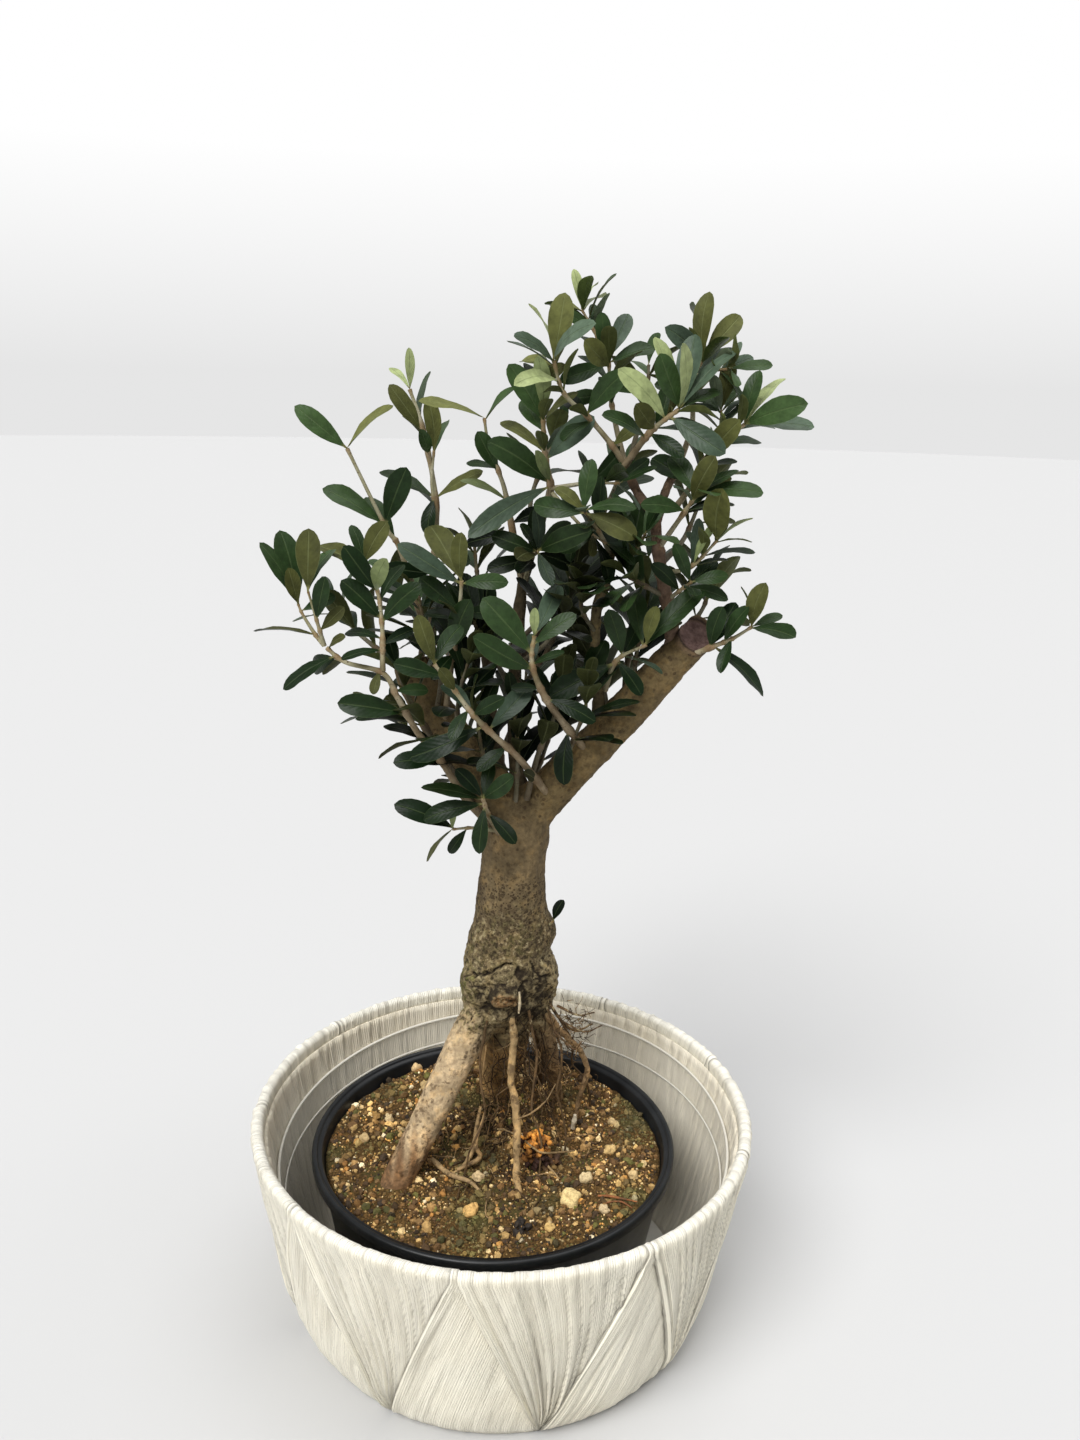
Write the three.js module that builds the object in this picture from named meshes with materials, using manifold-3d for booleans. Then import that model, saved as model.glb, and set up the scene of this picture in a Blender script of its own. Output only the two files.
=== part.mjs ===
// An olive bonsai in its nursery pot, standing in a bowl wound with pleated ribbon.
// Units are millimetres and +Z is up. The origin is the centre of the bowl's underside, on the surface it
// stands on; +X is the side of the long sawn limb, and -Y is the side that the bonsai is looked at from.
import * as THREE from "three";
import { mergeVertices } from "three/addons/utils/BufferGeometryUtils.js";
import Module from "manifold-3d";

const wasm = await Module();
wasm.setup();

// ---------------------------------------------------------------- driving dimensions

const GAP = 0.3; // clearance between neighbouring pieces that touch on the real object

const BOWL_HEIGHT = 112;
const BOWL_FOOT_RADIUS = 101.5;
// Outside of the bowl from the foot to the rim, as [height, radius].
const BOWL_WALL = [
  [0, BOWL_FOOT_RADIUS],
  [6, 107],
  [21, 112.7],
  [72, 123],
  [BOWL_HEIGHT, 130],
];
const RIBBON_RELIEF = 1.3; // how far a fold stands over the next one
const RIBBON_PLY = 1.2; // ribbon left under the deepest tuck
const RIBBON_INNER_PLY = 1.4;
const SHELL_THICKNESS = 1.5;
const SHELL_DISC_RADIUS = 88;
const SHELL_FLOOR = 3.6; // height of the inside of the shell's floor
const SHELL_TOP = BOWL_HEIGHT - 2;
const UNDER_PLY = 1.6; // thickness of the ribbon under the bowl
const ZIGZAGS = 9; // folded triangles point down this many times round the bowl
const WALL_SEGMENTS = 36; // facets round the shell, the liner and the pot
const FIRST_TOP_CORNER = -137.5; // degrees
const DOWN_STROKE = 19.5; // degrees from a top corner to the bottom corner after it
const PITCH = 360 / ZIGZAGS;
const FOLD_COLUMNS = 3; // facets across a folded triangle

const LINER_THICKNESS = 0.9;
const LINER_RIM_HEIGHT = 90;
const LINER_RING_DROP = 15; // a moulded ring runs round the liner this far under its rim
const LINER_TILT = 9; // the liner sits askew, its rim this much above and below its mean height
const LINER_HIGH_SIDE = 60; // degrees

const POT_CENTRE = [-4.6, 0];
const POT_RIM_RADIUS = 95.4;
const POT_RIM_HEIGHT = 91;
const POT_FOOT = SHELL_FLOOR + 1.3;
const POT_WALL = 1.8;
const POT_FLOOR = 2.2;
const POT_FOOT_RADIUS = 78;
const POT_TOP_RADIUS = 91.2; // outside of the wall under the lip
const POT_LIP = 5.5; // depth of the rolled lip
const POT_ARCH = 1.2; // the pot's underside is this far up inside its foot ring
const POT_FLOOR_TOP = POT_FOOT + POT_ARCH + POT_FLOOR;
const DRAIN_HOLES = 4;
const DRAIN_HOLE_RADIUS = 5;
const DRAIN_CIRCLE_RADIUS = 52;

const SOIL_HEIGHT = 84.6; // soil surface at the pot's wall
const SOIL_MOUND = 2.6; // rise of the soil round the roots
const SOIL_MOUND_REACH = 51;
const SOIL_LUMP = 0.5;

// The crown is measured from one eye point against an upright plane: x and z are read on the plane, and
// y says where the point itself stands on that line of sight, in front of the plane or behind it.
const EYE = [14.7, -553, 479.6];
const PLANE_Y = 12;

const BLADE_TOP = 0.35; // the flat upper face lies this far over a blade's middle line
const BLADE_KEEL = 0.9; // and the midrib's keel this far under it
// Outline of an olive leaf between its two points, as [share of its length, share of its half width].
const BLADE_OUTLINE = [
  [0.22, 0.42],
  [0.62, 1],
  [0.9, 0.7],
];
const BLADE_ARCH = 0.07; // rise of a blade's middle, as a share of its length
const WIDEST_BLADE = 13.6;
const LONGEST_BLADE = 38;
// The first letter of a leaf's look: how far its face is turned from the eye, in degrees.
const TURN = { b: 16, n: 52, t: 76 };
const PLACED_WIDTH = 0.42; // width of a placed leaf for its length
const YOUNG_WIDTH = 0.42; // the same for a pale young one
const RULED_WIDTH = 0.42;
const PAIR_START = 0.34; // a stem's leaves by rule start at this share of its length
const PAIR_JITTER = 24; // degrees
const SHORTEST_RULED = 27;
const RULED_SPREAD = 7; // a leaf by rule is up to this much longer than the shortest
const LAST_PAIR = 0.86; // size of the pair under the tip for the size of the others
const LEAST_LEAN = 46; // degrees between a leaf by rule and its stem
const LEAN_SPREAD = 16;
const STEM_TAPER = 0.6; // radius of a stem's tip for that of its foot
const STOUT_STEM = 1.5; // a stem over this radius has four sides, a finer one three
const LEAF_ROOM = 3.4; // least distance between points of two leaves
const WOOD_ROOM = 1.3; // least distance from a leaf to bark
const DEPTH_STEPS = [0, -5, 5, -10, 10, -15, 15, -21, 21, -28, 28]; // ways a placed leaf bends clear
const ROLL_STEPS = [0, 22, -22, 44, -44, 66, -66, 90, -90, 120, -120, 150, -150, 180];

// ---------------------------------------------------------------- solids from meshes

const { Manifold, Mesh } = wasm;
const MERGE_DISTANCE = 1e-3; // corners nearer than this are one corner
const radians = (degrees) => (degrees * Math.PI) / 180;
const vec = (x, y, z) => new THREE.Vector3(x, y, z);

function solidOf(geometry) {
  geometry.deleteAttribute("normal");
  geometry.deleteAttribute("uv");
  const merged = mergeVertices(geometry, MERGE_DISTANCE);
  const vertProperties = merged.attributes.position.array;
  const triVerts = merged.index.array;
  return new Manifold(new Mesh({ numProp: 3, vertProperties, triVerts }));
}

function geometryOf(solid) {
  const mesh = solid.getMesh();
  const positions = new Float32Array(mesh.numVert * 3);
  for (let i = 0; i < mesh.numVert; i++) {
    const start = i * mesh.numProp;
    positions.set(mesh.vertProperties.subarray(start, start + 3), i * 3);
  }
  const geometry = new THREE.BufferGeometry();
  geometry.setAttribute("position", new THREE.BufferAttribute(positions, 3));
  geometry.setIndex(new THREE.BufferAttribute(mesh.triVerts, 1));
  geometry.computeVertexNormals();
  return geometry;
}

// Joins neighbouring rings of points, and closes the two ends, or the last ring to the first.
function loft(rings, ringed = false) {
  const count = rings[0].length;
  const positions = rings.flat().flatMap((p) => [p.x, p.y, p.z]);
  const index = [];
  const last = ringed ? rings.length : rings.length - 1;
  for (let i = 0; i < last; i++) {
    const next = (i + 1) % rings.length;
    for (let j = 0; j < count; j++) {
      const a = i * count + j;
      const b = i * count + ((j + 1) % count);
      const c = next * count + ((j + 1) % count);
      const d = next * count + j;
      index.push(a, b, c, a, c, d);
    }
  }
  if (!ringed) {
    const end = (rings.length - 1) * count;
    for (let j = 1; j < count - 1; j++) {
      index.push(0, j + 1, j);
      index.push(end, end + j, end + j + 1);
    }
  }
  const geometry = new THREE.BufferGeometry();
  geometry.setAttribute("position", new THREE.Float32BufferAttribute(positions, 3));
  geometry.setIndex(index);
  return solidOf(geometry);
}

const joined = (solids) => solids.reduce((all, one) => all.add(one));
const largestBody = (solid) =>
  solid.decompose().reduce((best, one) => (one.volume() > best.volume() ? one : best));

// The largest body of a cut solid, with corners that the cuts left almost together made one.
function settled(solid) {
  const merged = solidOf(geometryOf(largestBody(solid)));
  return largestBody(merged);
}

// The height or radius at a station of a list of [station, value], straight between its entries.
function along(list, station) {
  let i = 1;
  while (i < list.length - 1 && list[i][0] < station) i++;
  const [s0, v0] = list[i - 1];
  const [s1, v1] = list[i];
  return v0 + ((v1 - v0) * (station - s0)) / (s1 - s0);
}

// ---------------------------------------------------------------- curves and tubes

// A point read on the measuring plane, moved along its line of sight to depth y.
function sighted(x, z, y) {
  const share = (y - EYE[1]) / (PLANE_Y - EYE[1]);
  return vec(EYE[0] + (x - EYE[0]) * share, y, EYE[2] + (z - EYE[2]) * share);
}

// A Catmull-Rom line through points, with a number of steps between neighbours.
function smoothLine(points, steps) {
  const curve = new THREE.CatmullRomCurve3(points, false, "catmullrom", 0.5);
  return curve.getPoints((points.length - 1) * steps);
}

// The direction of a line at each of its points.
function directions(line) {
  return line.map((p, i) => {
    const before = line[Math.max(0, i - 1)];
    const after = line[Math.min(line.length - 1, i + 1)];
    return after.clone().sub(before).normalize();
  });
}

// A vector square to the line at each of its points, carried along with as little twist as it can have.
function normals(line) {
  const tangents = directions(line);
  let normal = Math.abs(tangents[0].z) < 0.8 ? vec(0, 0, 1) : vec(0, -1, 0);
  return tangents.map((tangent) => {
    normal = normal.clone().addScaledVector(tangent, -normal.dot(tangent)).normalize();
    return normal;
  });
}

// A round bar along points whose radius runs through the given values, fatter all round by grow.
function bar(points, radii, sides, grow) {
  const line = smoothLine(points, 1);
  const tangents = directions(line);
  const across = normals(line);
  const rings = line.map((centre, i) => {
    const station = (i / (line.length - 1)) * (radii.length - 1);
    const radius = along(radii.map((r, k) => [k, r]), station);
    const side = tangents[i].clone().cross(across[i]);
    return Array.from({ length: sides }, (_, j) => {
      const angle = (j / sides) * 2 * Math.PI;
      const reach = radius + grow;
      return centre
        .clone()
        .addScaledVector(across[i], Math.cos(angle) * reach)
        .addScaledVector(side, Math.sin(angle) * reach);
    });
  });
  return loft(rings);
}

// ---------------------------------------------------------------- the bowl

const wallRadius = (height) => along(BOWL_WALL, height);
const PLY_BACK = RIBBON_RELIEF + RIBBON_PLY; // depth of the outer ply's back below the wall
const SHELL_OUTER = PLY_BACK + GAP;
const SHELL_INNER = SHELL_OUTER + SHELL_THICKNESS;
const PLY_OUTER = SHELL_INNER + GAP;
const PLY_INNER = PLY_OUTER + RIBBON_INNER_PLY;

function lathed(profile, segments) {
  const points = profile.map(([radius, height]) => new THREE.Vector2(radius, height));
  const geometry = new THREE.LatheGeometry(points, segments);
  geometry.rotateX(Math.PI / 2);
  return solidOf(geometry);
}

// The angles of the columns of one ring of the winding, and how far each stands proud, from 0 to 1. Every
// fold starts at a raised edge and sinks to where the next one covers it. Those edges zigzag up the wall.
function foldColumns(height) {
  const share = THREE.MathUtils.clamp((BOWL_HEIGHT - height) / BOWL_HEIGHT, 0.04, 0.96);
  const tuck = 0.35; // degrees between a raised edge and the end of the fold under it
  const columns = [];
  for (let k = 0; k < ZIGZAGS; k++) {
    const top = FIRST_TOP_CORNER + k * PITCH;
    const left = top + DOWN_STROKE * share;
    const right = top + PITCH - (PITCH - DOWN_STROKE) * share;
    const next = top + PITCH + DOWN_STROKE * share;
    for (const [start, end] of [
      [left, right],
      [right, next],
    ])
      for (let i = 0; i <= FOLD_COLUMNS; i++) {
        const across = i / FOLD_COLUMNS;
        const angle = start + tuck + (end - start - tuck) * across;
        columns.push([radians(angle), 1 - across]);
      }
  }
  return columns;
}

function bowlRibbonWrap() {
  // The outside, as [height, depth below the wall, share of the relief].
  const outside = [
    [0, 0, 0],
    ...[6, 21, 46, 72, BOWL_HEIGHT - 5].map((z) => [z, 0, 1]),
    [BOWL_HEIGHT - 1.4, 0.3, 0.4],
    [BOWL_HEIGHT, 2.6, 0],
  ];
  const rings = outside.map(([height, depth, relief]) =>
    foldColumns(height).map(([angle, proud]) => {
      const radius = wallRadius(height) - depth - RIBBON_RELIEF * relief * (1 - proud);
      return vec(Math.cos(angle) * radius, Math.sin(angle) * radius, height);
    }),
  );
  const at = (depth, heights) => heights.map((z) => [wallRadius(z) - depth, z]);
  const above = BOWL_HEIGHT + 5;
  const inside = lathed(
    [
      [0, SHELL_FLOOR - 1],
      [wallRadius(SHELL_FLOOR) - PLY_INNER, SHELL_FLOOR - 1],
      ...at(PLY_INNER, [SHELL_FLOOR, 21, 72, BOWL_HEIGHT - 2]),
      ...at(PLY_INNER - 1.6, [BOWL_HEIGHT - 0.3]),
      [wallRadius(BOWL_HEIGHT) - PLY_INNER + 3, above],
      [0, above],
    ],
    WALL_SEGMENTS,
  );
  const shellRoom = lathed(
    [
      [0, -1],
      [SHELL_DISC_RADIUS + GAP, -1],
      [SHELL_DISC_RADIUS + GAP, UNDER_PLY],
      [BOWL_FOOT_RADIUS - 2.6, UNDER_PLY],
      ...at(PLY_BACK, [6, 21, 72, SHELL_TOP + GAP]),
      ...at(PLY_OUTER, [SHELL_TOP + GAP, 72, 21, SHELL_FLOOR]),
      [0, SHELL_FLOOR],
    ],
    WALL_SEGMENTS,
  );
  return settled(loft(rings).subtract(inside).subtract(shellRoom));
}

function bowlShell() {
  const outside = [6, 21, 72, SHELL_TOP].map((z) => [wallRadius(z) - SHELL_OUTER, z]);
  const inside = [SHELL_TOP, 72, 21, SHELL_FLOOR].map((z) => [wallRadius(z) - SHELL_INNER, z]);
  const profile = [
    [0, 0],
    [SHELL_DISC_RADIUS, 0],
    [SHELL_DISC_RADIUS, UNDER_PLY + GAP],
    [BOWL_FOOT_RADIUS - 3, UNDER_PLY + GAP],
    ...outside,
    ...inside,
    [0, SHELL_FLOOR],
  ];
  return lathed(profile, WALL_SEGMENTS);
}

function bowlLiner() {
  const linerRadius = (z) => wallRadius(z) - PLY_INNER - GAP;
  const tilt = (angle) => LINER_TILT * Math.cos(angle - radians(LINER_HIGH_SIDE));
  // Each stop is [height, depth inwards from the ribbon's inner ply, whether it leans with the rim].
  const ring = LINER_RIM_HEIGHT - LINER_RING_DROP;
  const stops = [
    [SHELL_FLOOR, 3, 0],
    [21, 0, 0],
    [LINER_RIM_HEIGHT, 0, 1],
    [LINER_RIM_HEIGHT, 2.2, 1],
    [LINER_RIM_HEIGHT - 2.6, LINER_THICKNESS, 1],
    [ring + 1.2, LINER_THICKNESS, 1],
    [ring, LINER_THICKNESS + 0.8, 1],
    [ring - 1.2, LINER_THICKNESS, 1],
    [21, LINER_THICKNESS, 0],
    [SHELL_FLOOR + LINER_THICKNESS, 4, 0],
  ];
  const rings = stops.map(([height, depth, leans]) =>
    Array.from({ length: WALL_SEGMENTS }, (_, j) => {
      const angle = (j / WALL_SEGMENTS) * 2 * Math.PI;
      const z = height + leans * tilt(angle);
      const radius = linerRadius(z) - depth;
      return vec(Math.cos(angle) * radius, Math.sin(angle) * radius, z);
    }),
  );
  return loft(rings);
}

// ---------------------------------------------------------------- the nursery pot and its soil

function nurseryPot() {
  const lipStart = POT_RIM_HEIGHT - POT_LIP;
  const innerTop = POT_TOP_RADIUS - POT_WALL;
  const innerFoot = POT_FOOT_RADIUS - POT_WALL;
  const body = lathed(
    [
      [0, POT_FOOT + POT_ARCH],
      [POT_FOOT_RADIUS - 8, POT_FOOT + POT_ARCH],
      [POT_FOOT_RADIUS - 6, POT_FOOT],
      [POT_FOOT_RADIUS - 1, POT_FOOT],
      [POT_TOP_RADIUS, lipStart],
      [POT_RIM_RADIUS - 0.7, lipStart],
      [POT_RIM_RADIUS, POT_RIM_HEIGHT - 1.4],
      [POT_RIM_RADIUS - 1.8, POT_RIM_HEIGHT],
      [innerTop + 0.6, POT_RIM_HEIGHT],
      [innerTop, POT_RIM_HEIGHT - 2],
      [innerFoot, POT_FLOOR_TOP],
      [0, POT_FLOOR_TOP],
    ],
    WALL_SEGMENTS,
  );
  let pot = body;
  for (let i = 0; i < DRAIN_HOLES; i++) {
    const hole = new THREE.CylinderGeometry(DRAIN_HOLE_RADIUS, DRAIN_HOLE_RADIUS, 20, 8);
    hole.rotateX(Math.PI / 2);
    const angle = (i / DRAIN_HOLES) * 2 * Math.PI;
    const x = Math.cos(angle) * DRAIN_CIRCLE_RADIUS;
    hole.translate(x, Math.sin(angle) * DRAIN_CIRCLE_RADIUS, POT_FOOT);
    pot = pot.subtract(solidOf(hole));
  }
  return pot.translate([...POT_CENTRE, 0]);
}

// The soil's surface: level at the pot's wall, higher round the roots, and uneven.
function soilHeight(x, y) {
  const mound = SOIL_MOUND * Math.exp(-(x * x + y * y) / SOIL_MOUND_REACH ** 2);
  const lumps = SOIL_LUMP * Math.sin(0.11 * x + 0.6) * Math.cos(0.13 * y - 0.4);
  return SOIL_HEIGHT + mound + lumps + 0.7 * SOIL_LUMP * Math.sin(0.31 * x + 0.17 * y);
}

function pottingSoil(rootsGrown) {
  const wallAt = (z) => {
    const share = (z - POT_FLOOR_TOP) / (POT_RIM_HEIGHT - 2 - POT_FLOOR_TOP);
    return POT_FOOT_RADIUS + (POT_TOP_RADIUS - POT_FOOT_RADIUS) * share - POT_WALL - GAP;
  };
  const ring = (radius, heightOf) =>
    Array.from({ length: WALL_SEGMENTS }, (_, j) => {
      const angle = (j / WALL_SEGMENTS) * 2 * Math.PI;
      const x = Math.cos(angle) * radius + POT_CENTRE[0];
      const y = Math.sin(angle) * radius + POT_CENTRE[1];
      return vec(x, y, heightOf(x, y));
    });
  const edge = wallAt(SOIL_HEIGHT - 2);
  const rings = [
    ring(wallAt(POT_FLOOR_TOP), () => POT_FLOOR_TOP),
    ring(edge, (x, y) => soilHeight(x, y) - 1.4),
    ...[0.98, 0.7, 0.4].map((share) => ring(edge * share, soilHeight)),
  ];
  return settled(loft(rings).subtract(rootsGrown));
}

// ---------------------------------------------------------------- the olive tree's wood

const on = ([x, z, y]) => sighted(x, z, y);

// Stations of the trunk from its root crown to the fork: [height, centre x, radius].
const TRUNK = [
  [150, 2, 9],
  [154, 1.5, 16.5],
  [160, 1.5, 22],
  [168, 2, 24],
  [176, 2, 25],
  [184, 2, 24.6],
  [191, 1, 22.6],
  [197, 1, 21.2],
  [206, 2.4, 20.8],
  [215, 2, 18.7],
  [230, 2.2, 17.2],
  [246, 3, 16.2],
  [258, 4, 17],
  [268, 5, 15.5],
  [276, 6, 10],
];
const TRUNK_Y = 12;
const TRUNK_SIDES = 14;
// The root crown's underside stands higher at the front: its slope, and the height where that fades out.
const CROWN_SLOPE = 0.3;
const CROWN_LEVEL = 190;
// Swellings of the bark: [angle in degrees, height, rise, reach].
const BURLS = [
  [0, 207, 2.6, 9],
  [-100, 166, 2.4, 9],
  [-40, 181, 2, 9],
  [-150, 176, 2.2, 9],
  [-70, 193, 1.4, 7],
  [40, 172, 2.2, 10],
  [110, 185, 2.4, 11],
  [170, 160, 1.8, 9],
  [75, 215, 1.4, 10],
];

function trunkRelief(angle, height, radius) {
  const swirl = 0.022 * Math.sin(3 * angle + 0.045 * height) + 0.016 * Math.sin(5 * angle - 0.07 * height);
  const burls = BURLS.map(([at, z, rise, reach]) => {
    const turn = Math.atan2(Math.sin(angle - radians(at)), Math.cos(angle - radians(at)));
    const distance = Math.hypot(turn * radius, height - z) / reach;
    return rise * Math.exp(-distance * distance);
  });
  return radius * swirl + burls.reduce((sum, one) => sum + one);
}

function trunk(grow) {
  const rings = TRUNK.map(([height, x, radius]) =>
    Array.from({ length: TRUNK_SIDES }, (_, j) => {
      const angle = (j / TRUNK_SIDES) * 2 * Math.PI;
      const reach = radius + grow + trunkRelief(angle, height, radius);
      const lowered = height === TRUNK[0][0] ? grow : 0;
      const slope = CROWN_SLOPE * Math.min(1, Math.max(0, (CROWN_LEVEL - height) / 25));
      const rise = -slope * Math.sin(angle) * reach - lowered;
      return vec(x + Math.cos(angle) * reach, TRUNK_Y + Math.sin(angle) * reach, height + rise);
    }),
  );
  return loft(rings);
}

// Limbs and woody branches: [sides, radii, points], each point [x, z, y] as sighted on the plane.
const LIMBS = {
  right: [9, [14, 11.6, 10, 9.7, 9.2, 9.6, 7.4],
    [[4, 254, 12], [12, 272, 12], [36.5, 300, 9], [57, 324, 6], [75.5, 346.5, 4], [84, 356, 3], [88, 361, 2]]],
  left: [9, [14, 12.5, 11, 10.4, 9.6, 8.4],
    [[3, 252, 12], [-4, 275, 13], [-17, 293, 17], [-32, 313, 21], [-44, 334, 24], [-49, 346, 26]]],
};
const BRANCHES = {
  centre: [5, [5.4, 4.2, 3.4, 2.8, 2.3, 1.9],
    [[6, 264, 12], [3, 300, 20], [2, 340, 25], [5, 385, 22], [12, 410, 16], [17, 429, 11]]],
  back: [5, [5.4, 4, 3.2, 2.6, 2],
    [[2, 262, 16], [-6, 295, 36], [-10, 328, 52], [-12, 354, 62], [-12, 372, 67]]],
  upright: [5, [3.6, 3, 2.8, 2.6, 2.4, 2],
    [[40, 303, 9], [43, 325, 8], [42, 345, 6], [40, 370, 4], [44, 385, 3], [47, 404, 2]]],
  red: [5, [4.2, 3.6, 3.2, 2.9, 2.6],
    [[78, 346, 4], [76, 372, 3], [72, 385, 2], [69, 400, 1], [66, 420, 1]]],
  red_left: [5, [2.5, 2.2, 1.9], [[66.5, 417, 1], [57, 430, 2], [51, 441, 3]]],
  red_right: [5, [2.4, 2.1, 1.8], [[66.5, 415, 1], [70, 428, 6], [75, 440, 12]]],
};

// Roots that stand bare between the root crown and the soil: [sides, radii, points], each point [x, y, z].
const ROOTS = {
  left: [9, [12, 9.8, 8.8, 8.2, 7.8, 6],
    [[4, 9, 168], [-14, 3, 157], [-28, -10, 133], [-41, -23, 108], [-53, -33, 85], [-62, -41, 64]]],
  core: [9, [15, 12.5, 10.8, 10, 8],
    [[2, 13, 166], [0, 24, 135], [-3, 39, 106], [-5, 51, 84], [-6, 60, 60]]],
  thin: [5, [2.9, 2.7, 2.3, 2.4, 2.3, 2.1, 2.2, 1.9],
    [[4, -4, 166], [5, -9, 153], [4, -14, 137], [7, -19, 126], [8, -26, 110], [8, -33, 99], [10, -42, 85],
      [13, -51, 64]]],
  right: [7, [7, 5.4, 4.4, 4, 3.8, 3],
    [[13, 11, 166], [20, 12, 151], [25, 19, 127], [27, 31, 106], [29, 44, 85], [31, 53, 64]]],
  outer: [5, [3.4, 2.8, 2.4, 2.1, 1.9, 1.7, 1.5],
    [[18, 8, 166], [27, 10, 152], [36, 12, 141], [43, 15, 129], [44, 17, 115], [40, 20, 99], [38, 22, 66]]],
  back_left: [7, [9, 7, 5.6, 5, 4],
    [[-6, 20, 164], [-20, 36, 131], [-32, 50, 104], [-39, 60, 84], [-43, 65, 62]]],
  back_right: [6, [6, 4.8, 4.2, 3.6, 3],
    [[12, 22, 164], [19, 38, 132], [21, 52, 104], [20, 63, 84], [21, 70, 62]]],
  hair_front: [4, [1.7, 1.4, 1.2, 1.1, 1],
    [[-7, -3, 171], [-12, -11, 143], [-9, -20, 118], [-16, -26, 99], [-20, -31, 78]]],
  hair_middle: [4, [1.6, 1.4, 1.2, 1.1, 1],
    [[12, -4, 171], [17, -10, 143], [15, -16, 121], [20, -21, 102], [19, -27, 78]]],
  hair_right: [4, [1.6, 1.3, 1.2, 1.1, 1],
    [[20, 5, 170], [30, 0, 142], [28, -3, 120], [33, -6, 101], [32, -9, 78]]],
  hair_far: [4, [1.7, 1.4, 1.2, 1.1, 1],
    [[20, 15, 168], [35, 20, 138], [37, 30, 117], [46, 33, 101], [49, 36, 78]]],
  hair_left: [4, [1.6, 1.3, 1.2, 1.1, 1],
    [[-15, 9, 170], [-25, 8, 140], [-24, 13, 119], [-30, 12, 101], [-33, 15, 78]]],
  twig_right: [4, [1.6, 1.2, 1], [[20, 6, 171], [34, 1, 155], [45, -2, 160]]],
};

function wood(grow) {
  const sightedBars = [...Object.values(LIMBS), ...Object.values(BRANCHES)].map(([sides, radii, points]) =>
    bar(points.map(on), radii, sides, grow),
  );
  const roots = Object.values(ROOTS).map(([sides, radii, points]) =>
    bar(points.map((p) => vec(...p)), radii, sides, grow),
  );
  return joined([trunk(grow), ...sightedBars, ...roots]);
}

// ---------------------------------------------------------------- the leafy shoots

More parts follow.
